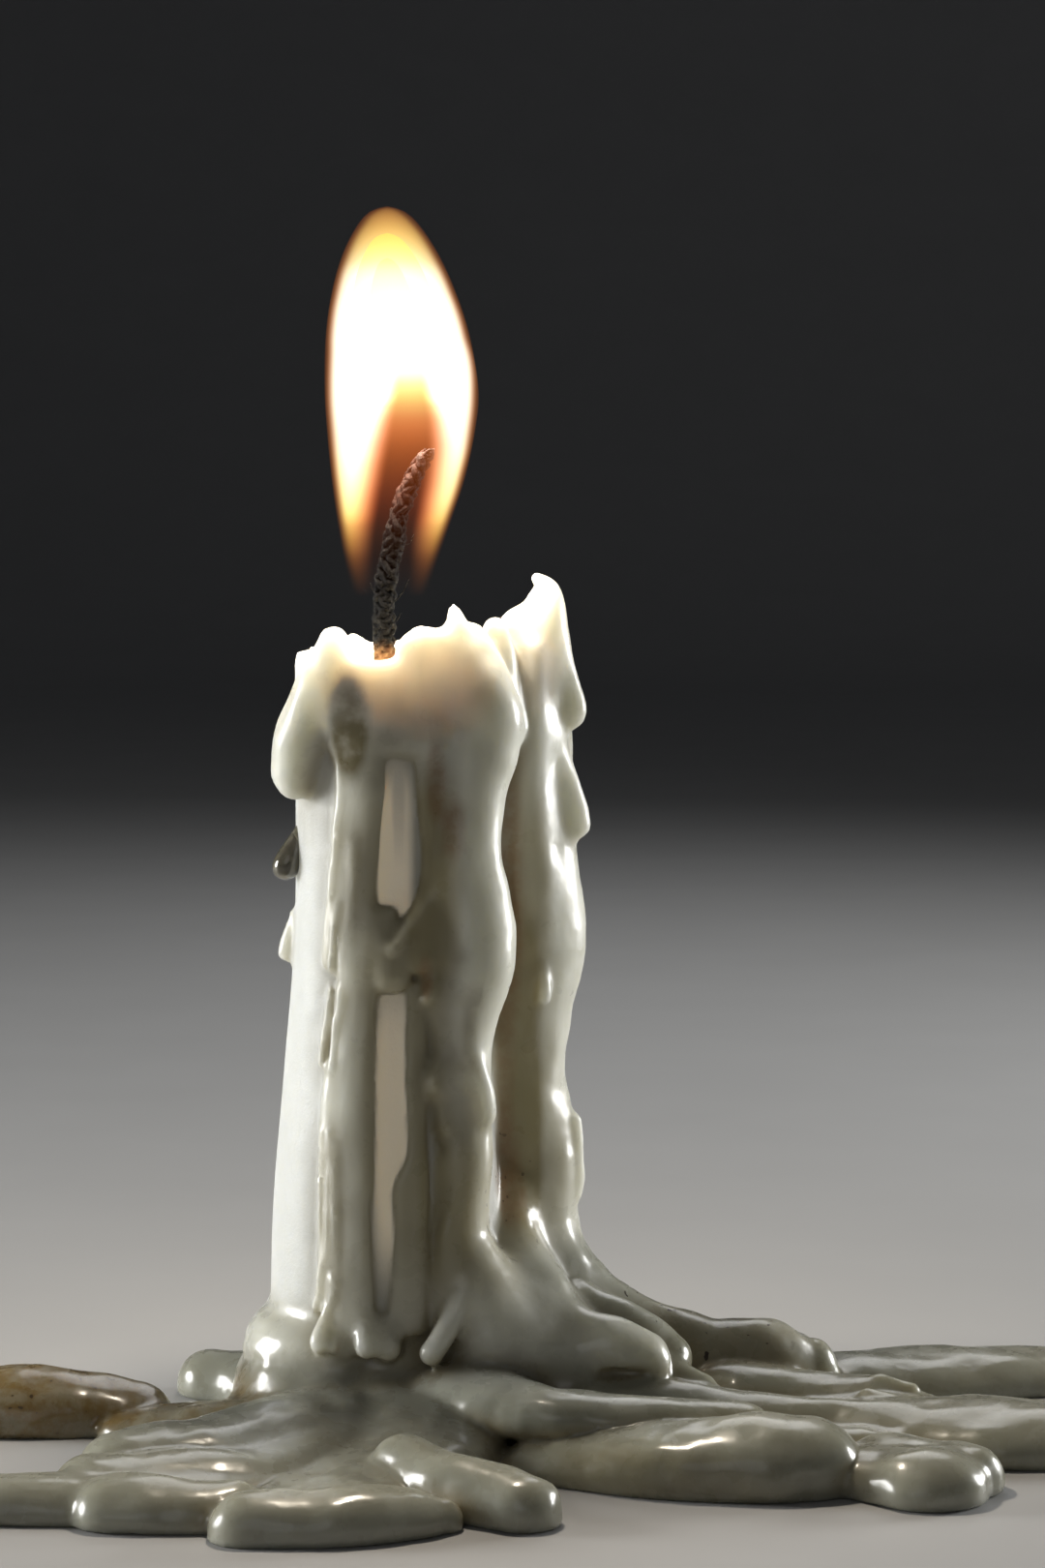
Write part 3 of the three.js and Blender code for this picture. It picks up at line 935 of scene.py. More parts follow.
@dataclass(frozen=True)
class Rim:
    """The ragged rim: bumps of wax that cooled on it, x, y, z and radius from the top down."""

    bumps: tuple[FreeRun, ...] = (
        FreeRun(((-4.8, -7.7, 80.7, 1.65), (-5.0, -7.8, 79, 1.8), (-5.2, -7.8, 74, 1.8)), 0.8),
        FreeRun(((-1.8, -8.7, 78.0, 0.7), (-1.8, -8.8, 75, 1.2)), 1.2),
        FreeRun(((1.2, -8.8, 78.0, 0.8), (1.2, -8.8, 75, 1.2)), 1.2),
        FreeRun(((3.9, -8.2, 81.0, 1.3), (3.6, -8.4, 79, 1.7), (3.2, -8.6, 75, 1.5)), 1.2),
        FreeRun(((5.8, -7.6, 80.7, 1.3), (5.8, -7.8, 76, 1.9)), 1.2),
        FreeRun(((7.0, -7.0, 84.0, 0.5), (7.2, -6.9, 82.8, 1.1), (7.6, -6.6, 80, 2.2),
                 (7.8, -6.6, 75, 2.8)), 1.0),
        FreeRun(((9.0, -5.4, 81.4, 1.3), (9.6, -5.0, 78, 2.3), (9.8, -4.6, 73, 2.6)), 1.0),
        FreeRun(((11.2, -1.4, 81.6, 1.5), (11.2, -1.0, 78, 2.4), (11.0, -0.6, 72, 3.2)), 1.0),
        FreeRun(((3.4, 8.2, 80.0, 1.2), (3.2, 8.3, 76, 1.6)), 1.2),
        FreeRun(((-3.6, 8.0, 79.8, 1.1), (-3.8, 8.1, 75, 1.5)), 1.2),
    )

    def fill(self, wax: WaxField) -> None:
        """Put the bumps in."""
        for bump in self.bumps:
            bump.fill(wax)


@dataclass(frozen=True)
class FrontWall:
    """The runs and curtains on the candle's front, rear and left."""

    runs: tuple[WallRun, ...] = (
        # the thick collar under the rim, whose lower edge is an arch on the left
        WallRun(((-4.8, 77.6, 2.4, 1.5), (-4.6, 75, 2.4, 1.9), (-4.2, 72.6, 2.0, 1.7),
                 (-3.6, 71.0, 1.8, 1.3)), power=2.6),
        WallRun(((-1.0, 77.2, 3.4, 1.1), (-0.6, 74, 3.8, 1.7), (0.0, 71.8, 3.6, 1.5)), power=2.6),
        WallRun(((4.4, 80.0, 3.0, 1.1), (4.4, 76, 3.8, 1.6), (4.6, 71.4, 3.6, 1.5)), power=2.6),
        # the broad band on the left, and the round blob beside it over the lower recess
        WallRun(((-2.0, 72, 2.4, 1.3), (-2.1, 67, 2.2, 1.15), (-2.5, 60, 2.1, 1.1), (-2.6, 55.6, 2.1, 1.15),
                 (-2.2, 52, 2.4, 1.25), (-2.2, 48, 2.4, 1.25), (-2.5, 44, 2.0, 1.15), (-2.6, 38, 1.9, 1.1),
                 (-2.7, 32, 2.0, 1.1), (-3.0, 22, 2.0, 1.15), (-2.8, 12, 2.4, 1.5)), fillet=0.4, power=3.2),
        WallRun(((0.3, 53.4, 1.2, 0.9), (0.7, 50.4, 2.1, 1.45), (0.8, 47.5, 1.8, 1.7)),
                fillet=0.6, power=2.5),
        # the sheet on the right, with its sweeping lower edge
        WallRun(((5.4, 72, 2.9, 1.5), (5.9, 67, 3.3, 1.5), (6.4, 60, 3.2, 1.55), (6.2, 56.6, 3.2, 1.7),
                 (5.4, 53.4, 3.6, 1.9), (4.8, 51.2, 4.2, 1.9), (4.8, 50.4, 4.0, 1.8)),
                 fillet=0.35, power=3.4),
        # the thin band on the right of the lower recess
        WallRun(((3.2, 46, 1.0, 0.75), (3.2, 38, 1.15, 0.7), (3.3, 30, 1.05, 0.7), (2.7, 26.5, 1.8, 0.75),
                 (2.7, 20, 1.8, 0.8), (2.4, 13, 2.2, 1.0)), fillet=0.35, power=3.2),
        # the lower part of the sheet: bulbs with short necks between them
        WallRun(((5.6, 49, 2.0, 1.5), (5.2, 46, 1.9, 1.9), (5.9, 43, 1.7, 1.5), (6.1, 40.6, 1.5, 1.5),
                 (5.9, 38, 2.1, 2.0), (5.9, 36, 2.1, 1.9), (6.4, 33.6, 1.6, 1.6), (6.5, 31.6, 1.5, 1.5),
                 (7.6, 29, 1.0, 1.6), (7.6, 26.6, 1.0, 1.5), (7.0, 24, 1.5, 1.5), (6.6, 20, 1.9, 1.5),
                 (6.4, 13, 2.1, 1.7)), fillet=0.6, power=2.6),
        # thin glossy ridges along the left edge of the bands
        WallRun(((-4.1, 69.4, 0.5, 0.9), (-4.3, 64, 0.45, 1.1), (-4.8, 57, 0.5, 1.1), (-5.3, 51, 0.6, 1.0),
                 (-5.5, 48.6, 0.5, 0.8)), fillet=0.8),
        WallRun(((-2.7, 61, 0.22, 1.2), (-2.75, 57, 0.3, 1.45), (-2.9, 53.2, 0.25, 1.4)), fillet=0.6),
        WallRun(((-4.2, 54.5, 0.3, 1.2), (-4.5, 51, 0.42, 1.45), (-4.8, 48.0, 0.4, 1.35)), fillet=0.6),
        WallRun(((-5.2, 46, 0.35, 0.6), (-5.6, 42, 0.45, 0.85), (-6.0, 38.6, 0.4, 0.8)), fillet=0.6),
        WallRun(((-4.1, 46, 0.35, 1.15), (-4.5, 42, 0.42, 1.25), (-4.8, 38.2, 0.4, 1.1)), fillet=0.6),
        WallRun(((-4.7, 38, 1.0, 0.6), (-5.0, 34, 1.1, 0.8), (-5.2, 24, 1.1, 0.8), (-5.4, 15, 1.3, 1.0)),
                fillet=0.8),
        WallRun(((-5.8, 32, 0.3, 0.8), (-6.1, 25, 0.35, 0.95), (-6.0, 18, 0.35, 0.95),
                 (-6.6, 14, 0.5, 1.0)), fillet=0.5),
        WallRun(((-5.0, 32, 0.25, 1.1), (-5.2, 25, 0.3, 1.2), (-5.2, 19, 0.3, 1.2)), fillet=0.5),
        WallRun(((-4.4, 31, 0.22, 1.15), (-4.5, 25, 0.28, 1.3), (-4.5, 19, 0.26, 1.2)), fillet=0.5),
        WallRun(((-4.6, 17.6, 0.3, 1.4), (-4.7, 15.4, 0.4, 1.6), (-5.2, 14.2, 0.4, 1.5)), fillet=0.5),
        # beads and short drips on the right half
        WallRun(((7.0, 74, 0.9, 2.0), (7.2, 69, 1.1, 2.3), (7.2, 66.4, 1.3, 2.6), (7.1, 65.4, 1.2, 2.4)),
                fillet=0.8),
        WallRun(((2.4, 53.0, 0.4, 1.3), (1.5, 51.2, 0.55, 1.8), (0.9, 50.3, 0.6, 2.1)), fillet=0.8),
        WallRun(((4.9, 48.6, 0.4, 1.7), (4.1, 46.2, 0.6, 2.1), (3.9, 45.2, 0.7, 2.1)), fillet=0.5),
        WallRun(((6.4, 44, 0.3, 1.9), (6.5, 41.5, 0.4, 2.2), (6.5, 40, 0.35, 2.0)), fillet=0.5),
        WallRun(((4.9, 39, 0.4, 1.7), (4.4, 37.2, 0.7, 2.1), (4.5, 36.2, 0.75, 2.1)), fillet=0.5),
        WallRun(((5.3, 34, 0.4, 1.6), (5.4, 32.2, 0.55, 1.8)), fillet=0.5),
        # the rear, out of sight, carries a few plain runs
        WallRun(((3.8, 78, 2.6, 0.9), (3.0, 71, 2.0, 1.4), (2.4, 62, 1.3, 1.1), (3.2, 52, 1.6, 1.5),
                 (4.0, 43, 1.1, 1.0),
                 (3.4, 34, 1.9, 1.7), (4.2, 24, 1.3, 1.1), (3.4, 10, 3.2, 2.2)), Side.REAR, fillet=1.6),
        WallRun(((-3.6, 78, 2.0, 0.8), (-4.2, 70, 1.0, 1.0), (-4.0, 63, 1.2, 1.4), (-4.3, 59.5, 1.5, 1.9)),
                Side.REAR,
                fillet=1.2),
        WallRun(((-0.2, 77, 1.8, 0.6), (-0.9, 66, 0.8, 0.7), (-0.4, 54, 1.1, 0.9), (-1.0, 44, 0.7, 0.7),
                 (-1.0, 38, 1.3, 1.5)), Side.REAR, fillet=1.2),
        WallRun(((-7.0, 30, 0.5, 0.5), (-7.2, 22, 1.0, 1.0), (-7.4, 12, 2.0, 1.4)), Side.REAR, fillet=1.4),
    )
    hanging: tuple[FreeRun, ...] = (
        # the lobe that hangs off the left of the rim, with two tips
        FreeRun(((-5.2, -7.4, 79, 1.7), (-6.8, -6.6, 75.6, 2.3), (-8.2, -5.8, 71.6, 2.5),
                 (-9.0, -5.2, 68.6, 2.0),
                 (-9.3, -5.0, 67.6, 1.7)), 1.5),
        FreeRun(((-5.8, -7.4, 76, 1.9), (-7.8, -6.8, 72, 1.9), (-8.6, -6.2, 68.2, 1.7),
                 (-8.8, -6.0, 66.4, 1.5)), 1.5),
        FreeRun(((-9.4, 0.2, 52.5, 0.5), (-9.9, 0.2, 49.8, 1.0), (-10.2, 0.2, 48.6, 0.95)), 0.9),
        # the run down the front right, with its bulges and its drop
        FreeRun(((8.4, -5.4, 79, 3.0), (9.5, -5.2, 74, 4.1), (9.6, -5.0, 71.6, 4.3), (8.4, -5.8, 66, 3.9),
                 (7.9, -6.2, 59, 3.8), (8.8, -6.2, 52, 4.2), (8.7, -6.4, 47.5, 4.1), (7.7, -6.9, 41, 3.2),
                 (7.6, -7.2, 36, 3.0), (7.8, -7.2, 29, 3.45), (7.0, -7.6, 22, 3.3), (7.5, -7.8, 18.6, 3.8),
                 (8.8, -7.8, 15.2, 4.6), (11.0, -7.6, 10.5, 5.6)), 1.5),
        FreeRun(((8.6, -8.8, 40.5, 0.8), (9.2, -9.0, 37.5, 1.3), (9.9, -8.8, 34.2, 1.5),
                 (10.1, -8.6, 33.2, 1.3)), 0.6),
        FreeRun(((12.9, -3.4, 73, 0.5), (13.0, -3.6, 71.5, 0.9)), 1.4),
    )

    def fill(self, wax: WaxField, candle: BareCandle) -> None:
        """Put the runs in."""
        for run in self.runs:
            run.fill(wax, candle)
        for run in self.hanging:
            run.fill(wax)


@dataclass(frozen=True)
class SideColumn:
    """The column of built-up wax that is fused to the candle's right and rear."""

    runs: tuple[FreeRun, ...] = (
        FreeRun(((9.5, 1.5, 78, 2.8), (10.0, 2.2, 66, 2.9), (10.0, 2.4, 40, 2.8), (10.2, 2.0, 14, 4.0)), 1.8),
        FreeRun(((14.0, 4.2, 81, 2.8), (14.4, 4.4, 77, 4.0), (13.6, 5.2, 70, 5.0), (13.4, 5.6, 64.5, 5.5),
                 (13.8, 5.8, 57, 5.8), (14.0, 6.0, 49, 6.3), (13.2, 6.2, 42, 5.8), (12.6, 6.3, 34.5, 5.7),
                 (13.6, 6.3, 26.5, 6.35), (13.2, 6.2, 17, 6.4), (14.2, 5.4, 8, 8.4)), 1.6),
        # the tall crest with a curled tip
        FreeRun(((15.2, 4.0, 86.75, 0.35), (15.9, 4.0, 86.5, 0.6), (16.25, 4.0, 85.2, 1.45),
                 (16.15, 4.0, 83.8, 2.1),
                 (15.8, 4.1, 81.4, 2.8), (15.4, 4.2, 77, 3.3)), 0.9),
        FreeRun(((14.9, 4.0, 86.55, 0.22), (15.2, 4.0, 86.9, 0.32)), 0.5),
        FreeRun(((13.6, 3.0, 82.4, 0.9), (13.5, 3.0, 80, 2.0), (13.6, 3.4, 76, 3.0)), 1.4),
        FreeRun(((17.4, 4.0, 80, 0.9), (18.4, 4.0, 76.4, 1.3), (19.2, 4.0, 73.6, 1.45),
                 (19.2, 4.0, 72.6, 1.3)), 1.6),
        FreeRun(((17.8, 4.2, 67.5, 0.8), (19.0, 4.2, 63.4, 1.35), (19.5, 4.2, 61.4, 1.3)), 1.6),
        FreeRun(((19.3, 5.0, 30.5, 0.7), (19.6, 5.0, 26, 0.7), (19.4, 5.0, 23, 0.6)), 1.2),
        # the pointed fold of light, the bead and the thin drip in the valley
        FreeRun(((15.0, 0.6, 79.4, 0.3), (14.7, 0.3, 75, 0.9), (14.5, 0.5, 70, 1.4), (14.4, 0.9, 62, 1.6),
                 (14.4, 1.2, 50, 1.6)), 2.2),
        FreeRun(((15.9, 0.5, 47.6, 0.3), (16.0, 0.2, 45.2, 0.8), (16.0, 0.1, 44.2, 0.9)), 0.8),
        FreeRun(((16.6, 7.6, 77, 1.6), (17.2, 8.8, 69, 1.9), (16.6, 9.4, 60, 1.4), (17.4, 10.2, 51, 2.1)),
                2.0),
        FreeRun(((12.0, 9.2, 74, 1.8), (11.2, 10.0, 63, 1.6), (11.8, 10.8, 50, 2.1), (11.0, 10.6, 38, 1.5),
                 (11.6, 11.2, 24, 2.2), (11.0, 12.4, 11, 3.2)), 2.2),
        FreeRun(((14.6, 10.6, 44, 1.0), (15.0, 11.4, 34, 1.3), (15.2, 11.8, 28, 1.7)), 1.2),
    )

    def fill(self, wax: WaxField) -> None:
        """Put the column in."""
        for run in self.runs:
            run.fill(wax)


@dataclass(frozen=True)
class Foot:
    """The lumps and short drips around the candle's foot."""

    runs: tuple[FreeRun, ...] = (
        # the skirt that rolls out round the left
        FreeRun(((-10.6, 6.0, 8.4, 1.9), (-12.0, 1.0, 9.6, 1.9), (-12.2, -3.0, 9.8, 2.0),
                 (-10.8, -6.6, 9.6, 2.1),
                 (-8.2, -9.0, 9.6, 2.1), (-5.0, -10.2, 9.2, 2.0)), 2.2),
        FreeRun(((-10.4, 6.0, 4.6, 3.6), (-11.6, 1.0, 5.0, 3.9), (-11.4, -3.6, 5.0, 4.1),
                 (-9.6, -7.6, 5.0, 3.9),
                 (-6.0, -9.6, 5.0, 3.6)), 2.2),
        FreeRun(((-14.0, -3.6, 8.6, 0.6), (-12.6, -6.8, 9.2, 0.8), (-11.2, -8.8, 8.4, 0.7)), 0.7),
        FreeRun(((-12.8, -7.6, 7.2, 0.6), (-11.4, -9.4, 7.0, 0.8), (-9.4, -10.8, 7.0, 0.6)), 0.6),
        # the drips that end on the foot
        FreeRun(((-4.8, -10.4, 16.0, 0.5), (-5.6, -11.4, 13.4, 0.75), (-6.3, -12.3, 11.4, 1.0),
                 (-6.3, -12.6, 10.8, 0.95)), 0.45),
        FreeRun(((-4.5, -11.6, 13.4, 0.4), (-4.9, -12.8, 11.0, 0.6), (-5.0, -13.0, 10.5, 0.55)), 0.4),
        FreeRun(((-1.9, -11.8, 13.4, 0.7), (-1.8, -12.8, 11.8, 1.2), (-1.7, -13.3, 10.8, 1.3)), 0.5),
        FreeRun(((-0.4, -11.8, 13.0, 1.0), (0.2, -12.6, 11.4, 1.4), (0.6, -12.8, 10.6, 1.5)), 0.9),
        FreeRun(((8.2, -10.6, 17.0, 1.3), (7.2, -11.9, 14.0, 1.4), (5.8, -13.0, 11.6, 1.45),
                 (4.8, -13.6, 10.2, 1.4)), 0.5),
        # the apron that fills the valley between the candle and the column, and the slope beyond
        FreeRun(((12.8, 0.0, 23, 1.4), (13.6, -2.2, 18, 2.8), (15, -4.4, 12.6, 4.8), (16.4, -6.0, 8, 6.4)),
                3.0),
        FreeRun(((16, 4.4, 15.4, 4.6), (20, 4.2, 11.4, 4.5), (25, 4.0, 8.6, 4.3), (31, 4.0, 6.2, 4.3)), 2.5),
    )

    def fill(self, wax: WaxField) -> None:
        """Put the lumps in."""
        for run in self.runs:
            run.fill(wax)


@dataclass(frozen=True)
class Pool:
    """The set wax on the table: broad mounds, with tongues that ran out over them and past them."""

    sink: float = -1.6
    mounds: tuple[Mound, ...] = (
        Mound((0, -3, 0), (16.5, 14.0, 8.8)),
        Mound((14, 1, 0), (17, 14, 11.5)),
        Mound((21.5, -6, 0), (9.6, 8.5, 10.4), 2.4),
        Mound((-8, -18, 0), (18, 15, 3.4)),
        Mound((-4, -36, 0), (9, 8, 3.2)),
        Mound((35, -7, 0), (22, 14, 2.4)),
        Mound((6, 12, 0), (23, 14, 4.6)),
    )
    tongues: tuple[Rows, ...] = (
        # the broad sheet to the front left, and the fingers at its end
        ((-2, -12, 0, 9, 6.8), (-12, -25, 0, 8.6, 4.4), (-20, -33, 0, 8, 3.8)),
        ((-26, -33.4, 0, 5.0, 4.6), (-18, -31.4, 0, 4.2, 5.0), (-12.4, -31, 0, 3.0, 4.2),
         (-9.4, -31, 0, 1.7, 2.8)),
        ((-24, -40, 0, 4.4, 4.4), (-17, -40.8, 0, 4.2, 4.4), (-13.2, -40.6, 0, 3.2, 4.0),
         (-10.6, -40.4, 0, 2.0, 3.0)),
        ((-28, -37.4, 0, 4.6, 4.0), (-38, -37, 0, 4.6, 3.8), (-45.2, -36, 0, 4.4, 3.6)),
        ((-11.6, -46.0, 0, 3.6, 4.2), (-3, -45.0, 0, 4.4, 4.8), (3.4, -43.4, 0, 3.4, 4.2),
         (6.4, -42.6, 0, 2.0, 3.0)),
        ((2.4, -30, 0, 3.4, 6.2), (7.0, -35.6, 0, 3.6, 5.6), (14.0, -40.8, 0, 3.7, 4.6)),
        ((-6, -15, 0, 7.5, 6.8), (-15, -22, 0, 6.8, 5.8), (-22.8, -25.6, 0, 6.4, 5.4)),
        # the broad sheet to the front
        ((4, -12, 0, 10, 7.2), (2.5, -24, 0, 8.0, 4.8), (-2, -34, 0, 7.0, 3.4)),
        # the ridge that overhangs the lobe in front of it
        ((8, -11, 2.6, 6, 6.6), (14, -17.6, 3.2, 4.8, 5.0), (22, -20.0, 3.4, 3.4, 4.0),
         (29, -19.8, 3.2, 3.0, 3.8),
         (35.6, -18.4, 2.8, 2.6, 3.6)),
        ((17, -21, 0, 5.4, 3.4), (27, -25.6, 0, 6.4, 5.8), (36, -27.4, 0, 6.6, 7.2),
         (40.6, -27.2, 0, 6.0, 6.8)),
        ((46, -26, 0, 5.0, 3.8), (52.6, -31, 0, 6.0, 4.8)),
        ((50, -24, 0, 4.8, 4.4), (56.8, -28.4, 0, 3.3, 4.6)),
        # the layers to the right
        ((46, -8, 0, 7.6, 4.4), (60, -12.6, 0, 8.0, 5.2), (71.8, -14, 0, 7.0, 4.8)),
        ((29, 3.0, 0, 4.6, 9.6), (35, 4.2, 0, 4.8, 9.8), (40, 5.3, 0, 4.9, 9.8), (44, 6, 0, 3.0, 7.6)),
        ((22, -9, 0, 7.0, 7.4), (30, -9.6, 0, 5.2, 6.4), (38, -10.2, 0, 4.2, 5.4),
         (47.4, -10.4, 0, 2.9, 4.6)),
        ((36, -1, 0, 6.0, 6.6), (44, -2.4, 0, 4.6, 5.6), (50, -4.0, 0, 4.0, 5.4), (55.0, -5.0, 0, 2.9, 4.2)),
        ((40, -16, 0, 4.0, 3.4), (47, -17.0, 0, 3.4, 3.8), (50.6, -17.2, 0, 2.2, 3.4)),
        ((22, 12, 0, 7.6, 6.4), (34, 15.6, 0, 5.6, 6.6), (41.6, 17, 0, 4.6, 6.0)),
        ((40, 10, 0, 7.6, 4.2), (56, 14, 0, 7.0, 4.4), (69.4, 17, 0, 5.8, 4.0)),
        # the stained lump far to the left, and the lobes beside it
        ((-26, -2.6, 0, 4.2, 4.6), (-34, -2.2, 0, 5.8, 6.2), (-43.6, -2, 0, 5.4, 5.8)),
        ((-8, -10, 0, 8.6, 5.8), (-17, -8, 0, 6.4, 4.2), (-25, -6, 0, 4.6, 3.2)),
        ((-6, 6, 0, 7.6, 6.0), (-14, 11.4, 0, 5.4, 5.0), (-18.4, 13.4, 0, 4.4, 4.6)),
        ((2, 12, 0, 9.6, 6.4), (0, 20, 0, 7.6, 4.6), (-3, 26, 0, 6.0, 4.4)),
        ((14, 12, 0, 9.6, 7.4), (19, 21, 0, 7.4, 5.2), (23.6, 26.6, 0, 6.0, 4.4)),
    )
    beads: tuple[FreeRun, ...] = (
        FreeRun(((-16.2, -15.0, 3.7, 0.75), (-16.2, -15.2, 3.4, 0.8)), 0.6),
        # the glob that overhangs its crevice, and the folds that slide off to its right
        FreeRun(((18.0, -6.8, 10.6, 2.8), (22.2, -8.6, 10.0, 3.2), (26.2, -9.0, 8.8, 2.7)), 1.6),
        FreeRun(((20.0, -1.4, 11.4, 3.2), (24.8, -2.8, 9.6, 3.4), (28.4, -4.0, 7.6, 2.9)), 1.3),
        FreeRun(((28.4, -6.4, 6.8, 1.8), (32.2, -7.2, 5.4, 1.5)), 0.7),
        FreeRun(((50.4, -4.6, 5.0, 0.9), (53.4, -5.2, 4.4, 1.0)), 0.5),
        FreeRun(((48.6, -8.0, 4.4, 0.9), (51.4, -8.8, 3.8, 1.0)), 0.4),
        FreeRun(((55.4, -8.4, 3.6, 1.0), (57.4, -8.8, 3.2, 0.9)), 0.4),
    )
    crevices: tuple[Mound, ...] = (
        Mound((24.2, -13.2, 7.7), (3.6, 2.6, 0.6), 0.35),
    )

    def fill(self, wax: WaxField) -> None:
        """Put the pool in, and leave what is under the table to be cut off."""
        for mound in self.mounds:
            mound.fill(wax)
        for rows in self.tongues:
            sinks = [self.sink if row[2] == 0 else 0 for row in rows]
            lowered = [(x, y, base + sink, half, height - sink)
                       for (x, y, base, half, height), sink in zip(rows, sinks)]
            Tongue(lowered).fill(wax)
        for bead in self.beads:
            bead.fill(wax)
        for crevice in self.crevices:
            crevice.cut(wax)


@dataclass(frozen=True)
class StainAndShadingPatch:
    """A tint in the wax, used for real stains and for painted shade and light: a soft place with its centre,
    half sizes, strength and squareness.
    """

    centre: tuple[float, float, float]
    halves: tuple[float, float, float]
    strength: float = 1.0
    power: float = 2.0

    def at(self, points: np.ndarray) -> np.ndarray:
        """Give the patch's strength at points, eased from 1 inside to 0 at its edge."""
        share = np.abs((points - self.centre) / self.halves)
        away = (share**self.power).sum(axis=1) ** (1 / self.power)
        return self.strength * (1 - ease(0.5, 1.0, away))


@dataclass
class Wax:
    """All the wax: it fills the field, draws its surface, and stores what the finish reads."""

    cell: float = 0.4
    most_triangles: int = 186_000
    # the unevenness of the run wax: depth and wavelength of each layer
    swells: Rows = ((0.36, 5.5), (0.15, 2.3))
    # how much painted glow the bare strips get, standing for the flame's light showing through them
    strip_glow: float = 0.25
    candle: BareCandle = field(default_factory=BareCandle)
    rim: Rim = field(default_factory=Rim)
    front: FrontWall = field(default_factory=FrontWall)
    column: SideColumn = field(default_factory=SideColumn)
    foot: Foot = field(default_factory=Foot)
    pool: Pool = field(default_factory=Pool)
    finish: WaxFinish = field(default_factory=WaxFinish)
    amber: tuple[StainAndShadingPatch, ...] = (
        StainAndShadingPatch((-38, -2, 3), (18, 14, 6), 1.0),
        StainAndShadingPatch((-20, -8, 4), (15, 9, 5), 0.75),
        StainAndShadingPatch((33, 2, 8), (15, 8, 6), 0.30),
        StainAndShadingPatch((-3, -22, 5), (12, 8, 4), 0.22),
    )
    rust: tuple[StainAndShadingPatch, ...] = (
        StainAndShadingPatch((5.4, -11, 67), (1.4, 5, 6), 0.5),
        StainAndShadingPatch((7.0, -11, 62.4), (1.6, 5, 4), 0.5),
        StainAndShadingPatch((4.3, -11, 47.5), (1.0, 2, 3), 0.5),
        StainAndShadingPatch((12.4, -1.5, 50), (2.0, 3, 30), 0.5),
        StainAndShadingPatch((12.6, -1.5, 24), (2.2, 3, 12), 0.5),
    )
    # painted shade: the front bands, the valleys and the column's lower front, where shade falls
    shade: tuple[StainAndShadingPatch, ...] = (
        StainAndShadingPatch((2.0, -10, 41), (6.0, 5, 36), 0.75, 5.0),
        StainAndShadingPatch((5.4, -10, 57), (3.6, 4, 13), 0.55, 4.0),
        StainAndShadingPatch((6.4, -10, 24), (3.4, 4, 12), 0.45, 4.0),
        StainAndShadingPatch((14.6, -0.6, 54), (3.0, 5, 14), 0.6, 3.0),
        StainAndShadingPatch((13.2, -0.6, 34), (3.2, 5, 22), 0.9, 4.0),
        StainAndShadingPatch((10.4, -8, 22), (5, 6, 13), 0.5, 3.0),
        StainAndShadingPatch((17, -2, 30), (5, 8, 14), 0.5, 3.0),
    )
    # painted shade: the pool and the slope beyond the column's foot
    low_shade: tuple[StainAndShadingPatch, ...] = (
        StainAndShadingPatch((14, -10, 0), (110, 70, 12), 0.9, 8.0),
        StainAndShadingPatch((38, -14, 0), (30, 22, 9), 0.3, 4.0),
        StainAndShadingPatch((26, 2, 12), (17, 14, 9), 0.75, 4.0),
    )
    # painted glow: emission near the rim and on the crest, standing for the flame's light
    glow: tuple[StainAndShadingPatch, ...] = (
        StainAndShadingPatch((1.5, -2, 82.5), (15, 14, 12), 0.8),
        StainAndShadingPatch((15.5, 3, 85), (5.5, 6, 11), 0.6),
    )
    # a real stain, and painted shade
    olive_stain_and_shade: tuple[StainAndShadingPatch, ...] = (
        # the olive-brown stain on the collar's left
        StainAndShadingPatch((-3.3, -9.6, 72.4), (2.6, 5, 6.6), 0.8),
        # painted shade under the collar's overhang
        StainAndShadingPatch((-1.0, -9.6, 69.6), (6.4, 5, 4.6), 0.35),
        # painted shade on the front of the pool lobe, which lies in shadow
        StainAndShadingPatch((27, -30, 1), (17, 9, 5), 0.6, 3.0),
    )
    # painted light: the bare strips between the front bands
    strip: tuple[StainAndShadingPatch, ...] = (
        StainAndShadingPatch((0.9, -10, 58), (2.6, 4, 13), 1.0, 4.0),
        StainAndShadingPatch((0.9, -10, 32), (2.4, 4, 18), 1.0, 4.0),
    )
    # painted light: the collar under the rim and the column's crest, lit by the flame
    warm_light: tuple[StainAndShadingPatch, ...] = (
        StainAndShadingPatch((2.5, -9, 76.5), (11, 7, 7), 0.75),
        StainAndShadingPatch((14.5, 2, 77), (4, 5, 8), 0.4),
    )
    dirt: tuple[StainAndShadingPatch, ...] = (
        StainAndShadingPatch((30, 1, 10), (16, 9, 6), 1.0),
        StainAndShadingPatch((-38, -2, 3), (17, 9, 6), 0.9),
        StainAndShadingPatch((10, -3, 24), (9, 9, 12), 0.5),
    )

    def field_of_wax(self) -> WaxField:
        """Fill the field, carve the bowl and cut the bottom flat on the table.

        Returns:
            The filled field.
        """
        wax = WaxField((-53.0, -53.0, -2.0), (82.0, 36.0, 91.0), self.cell)
        self.candle.fill(wax)
        self.front.fill(wax, self.candle)
        self.column.fill(wax)
        self.foot.fill(wax)
        self.pool.fill(wax)
        self.rim.fill(wax)
        self.candle.hollow(wax)
        table = -(wax.low[2] + wax.cell * np.arange(wax.counts[2]))
        wax.values = np.maximum(wax.values, table[None, None, :].astype(np.float32))
        return wax

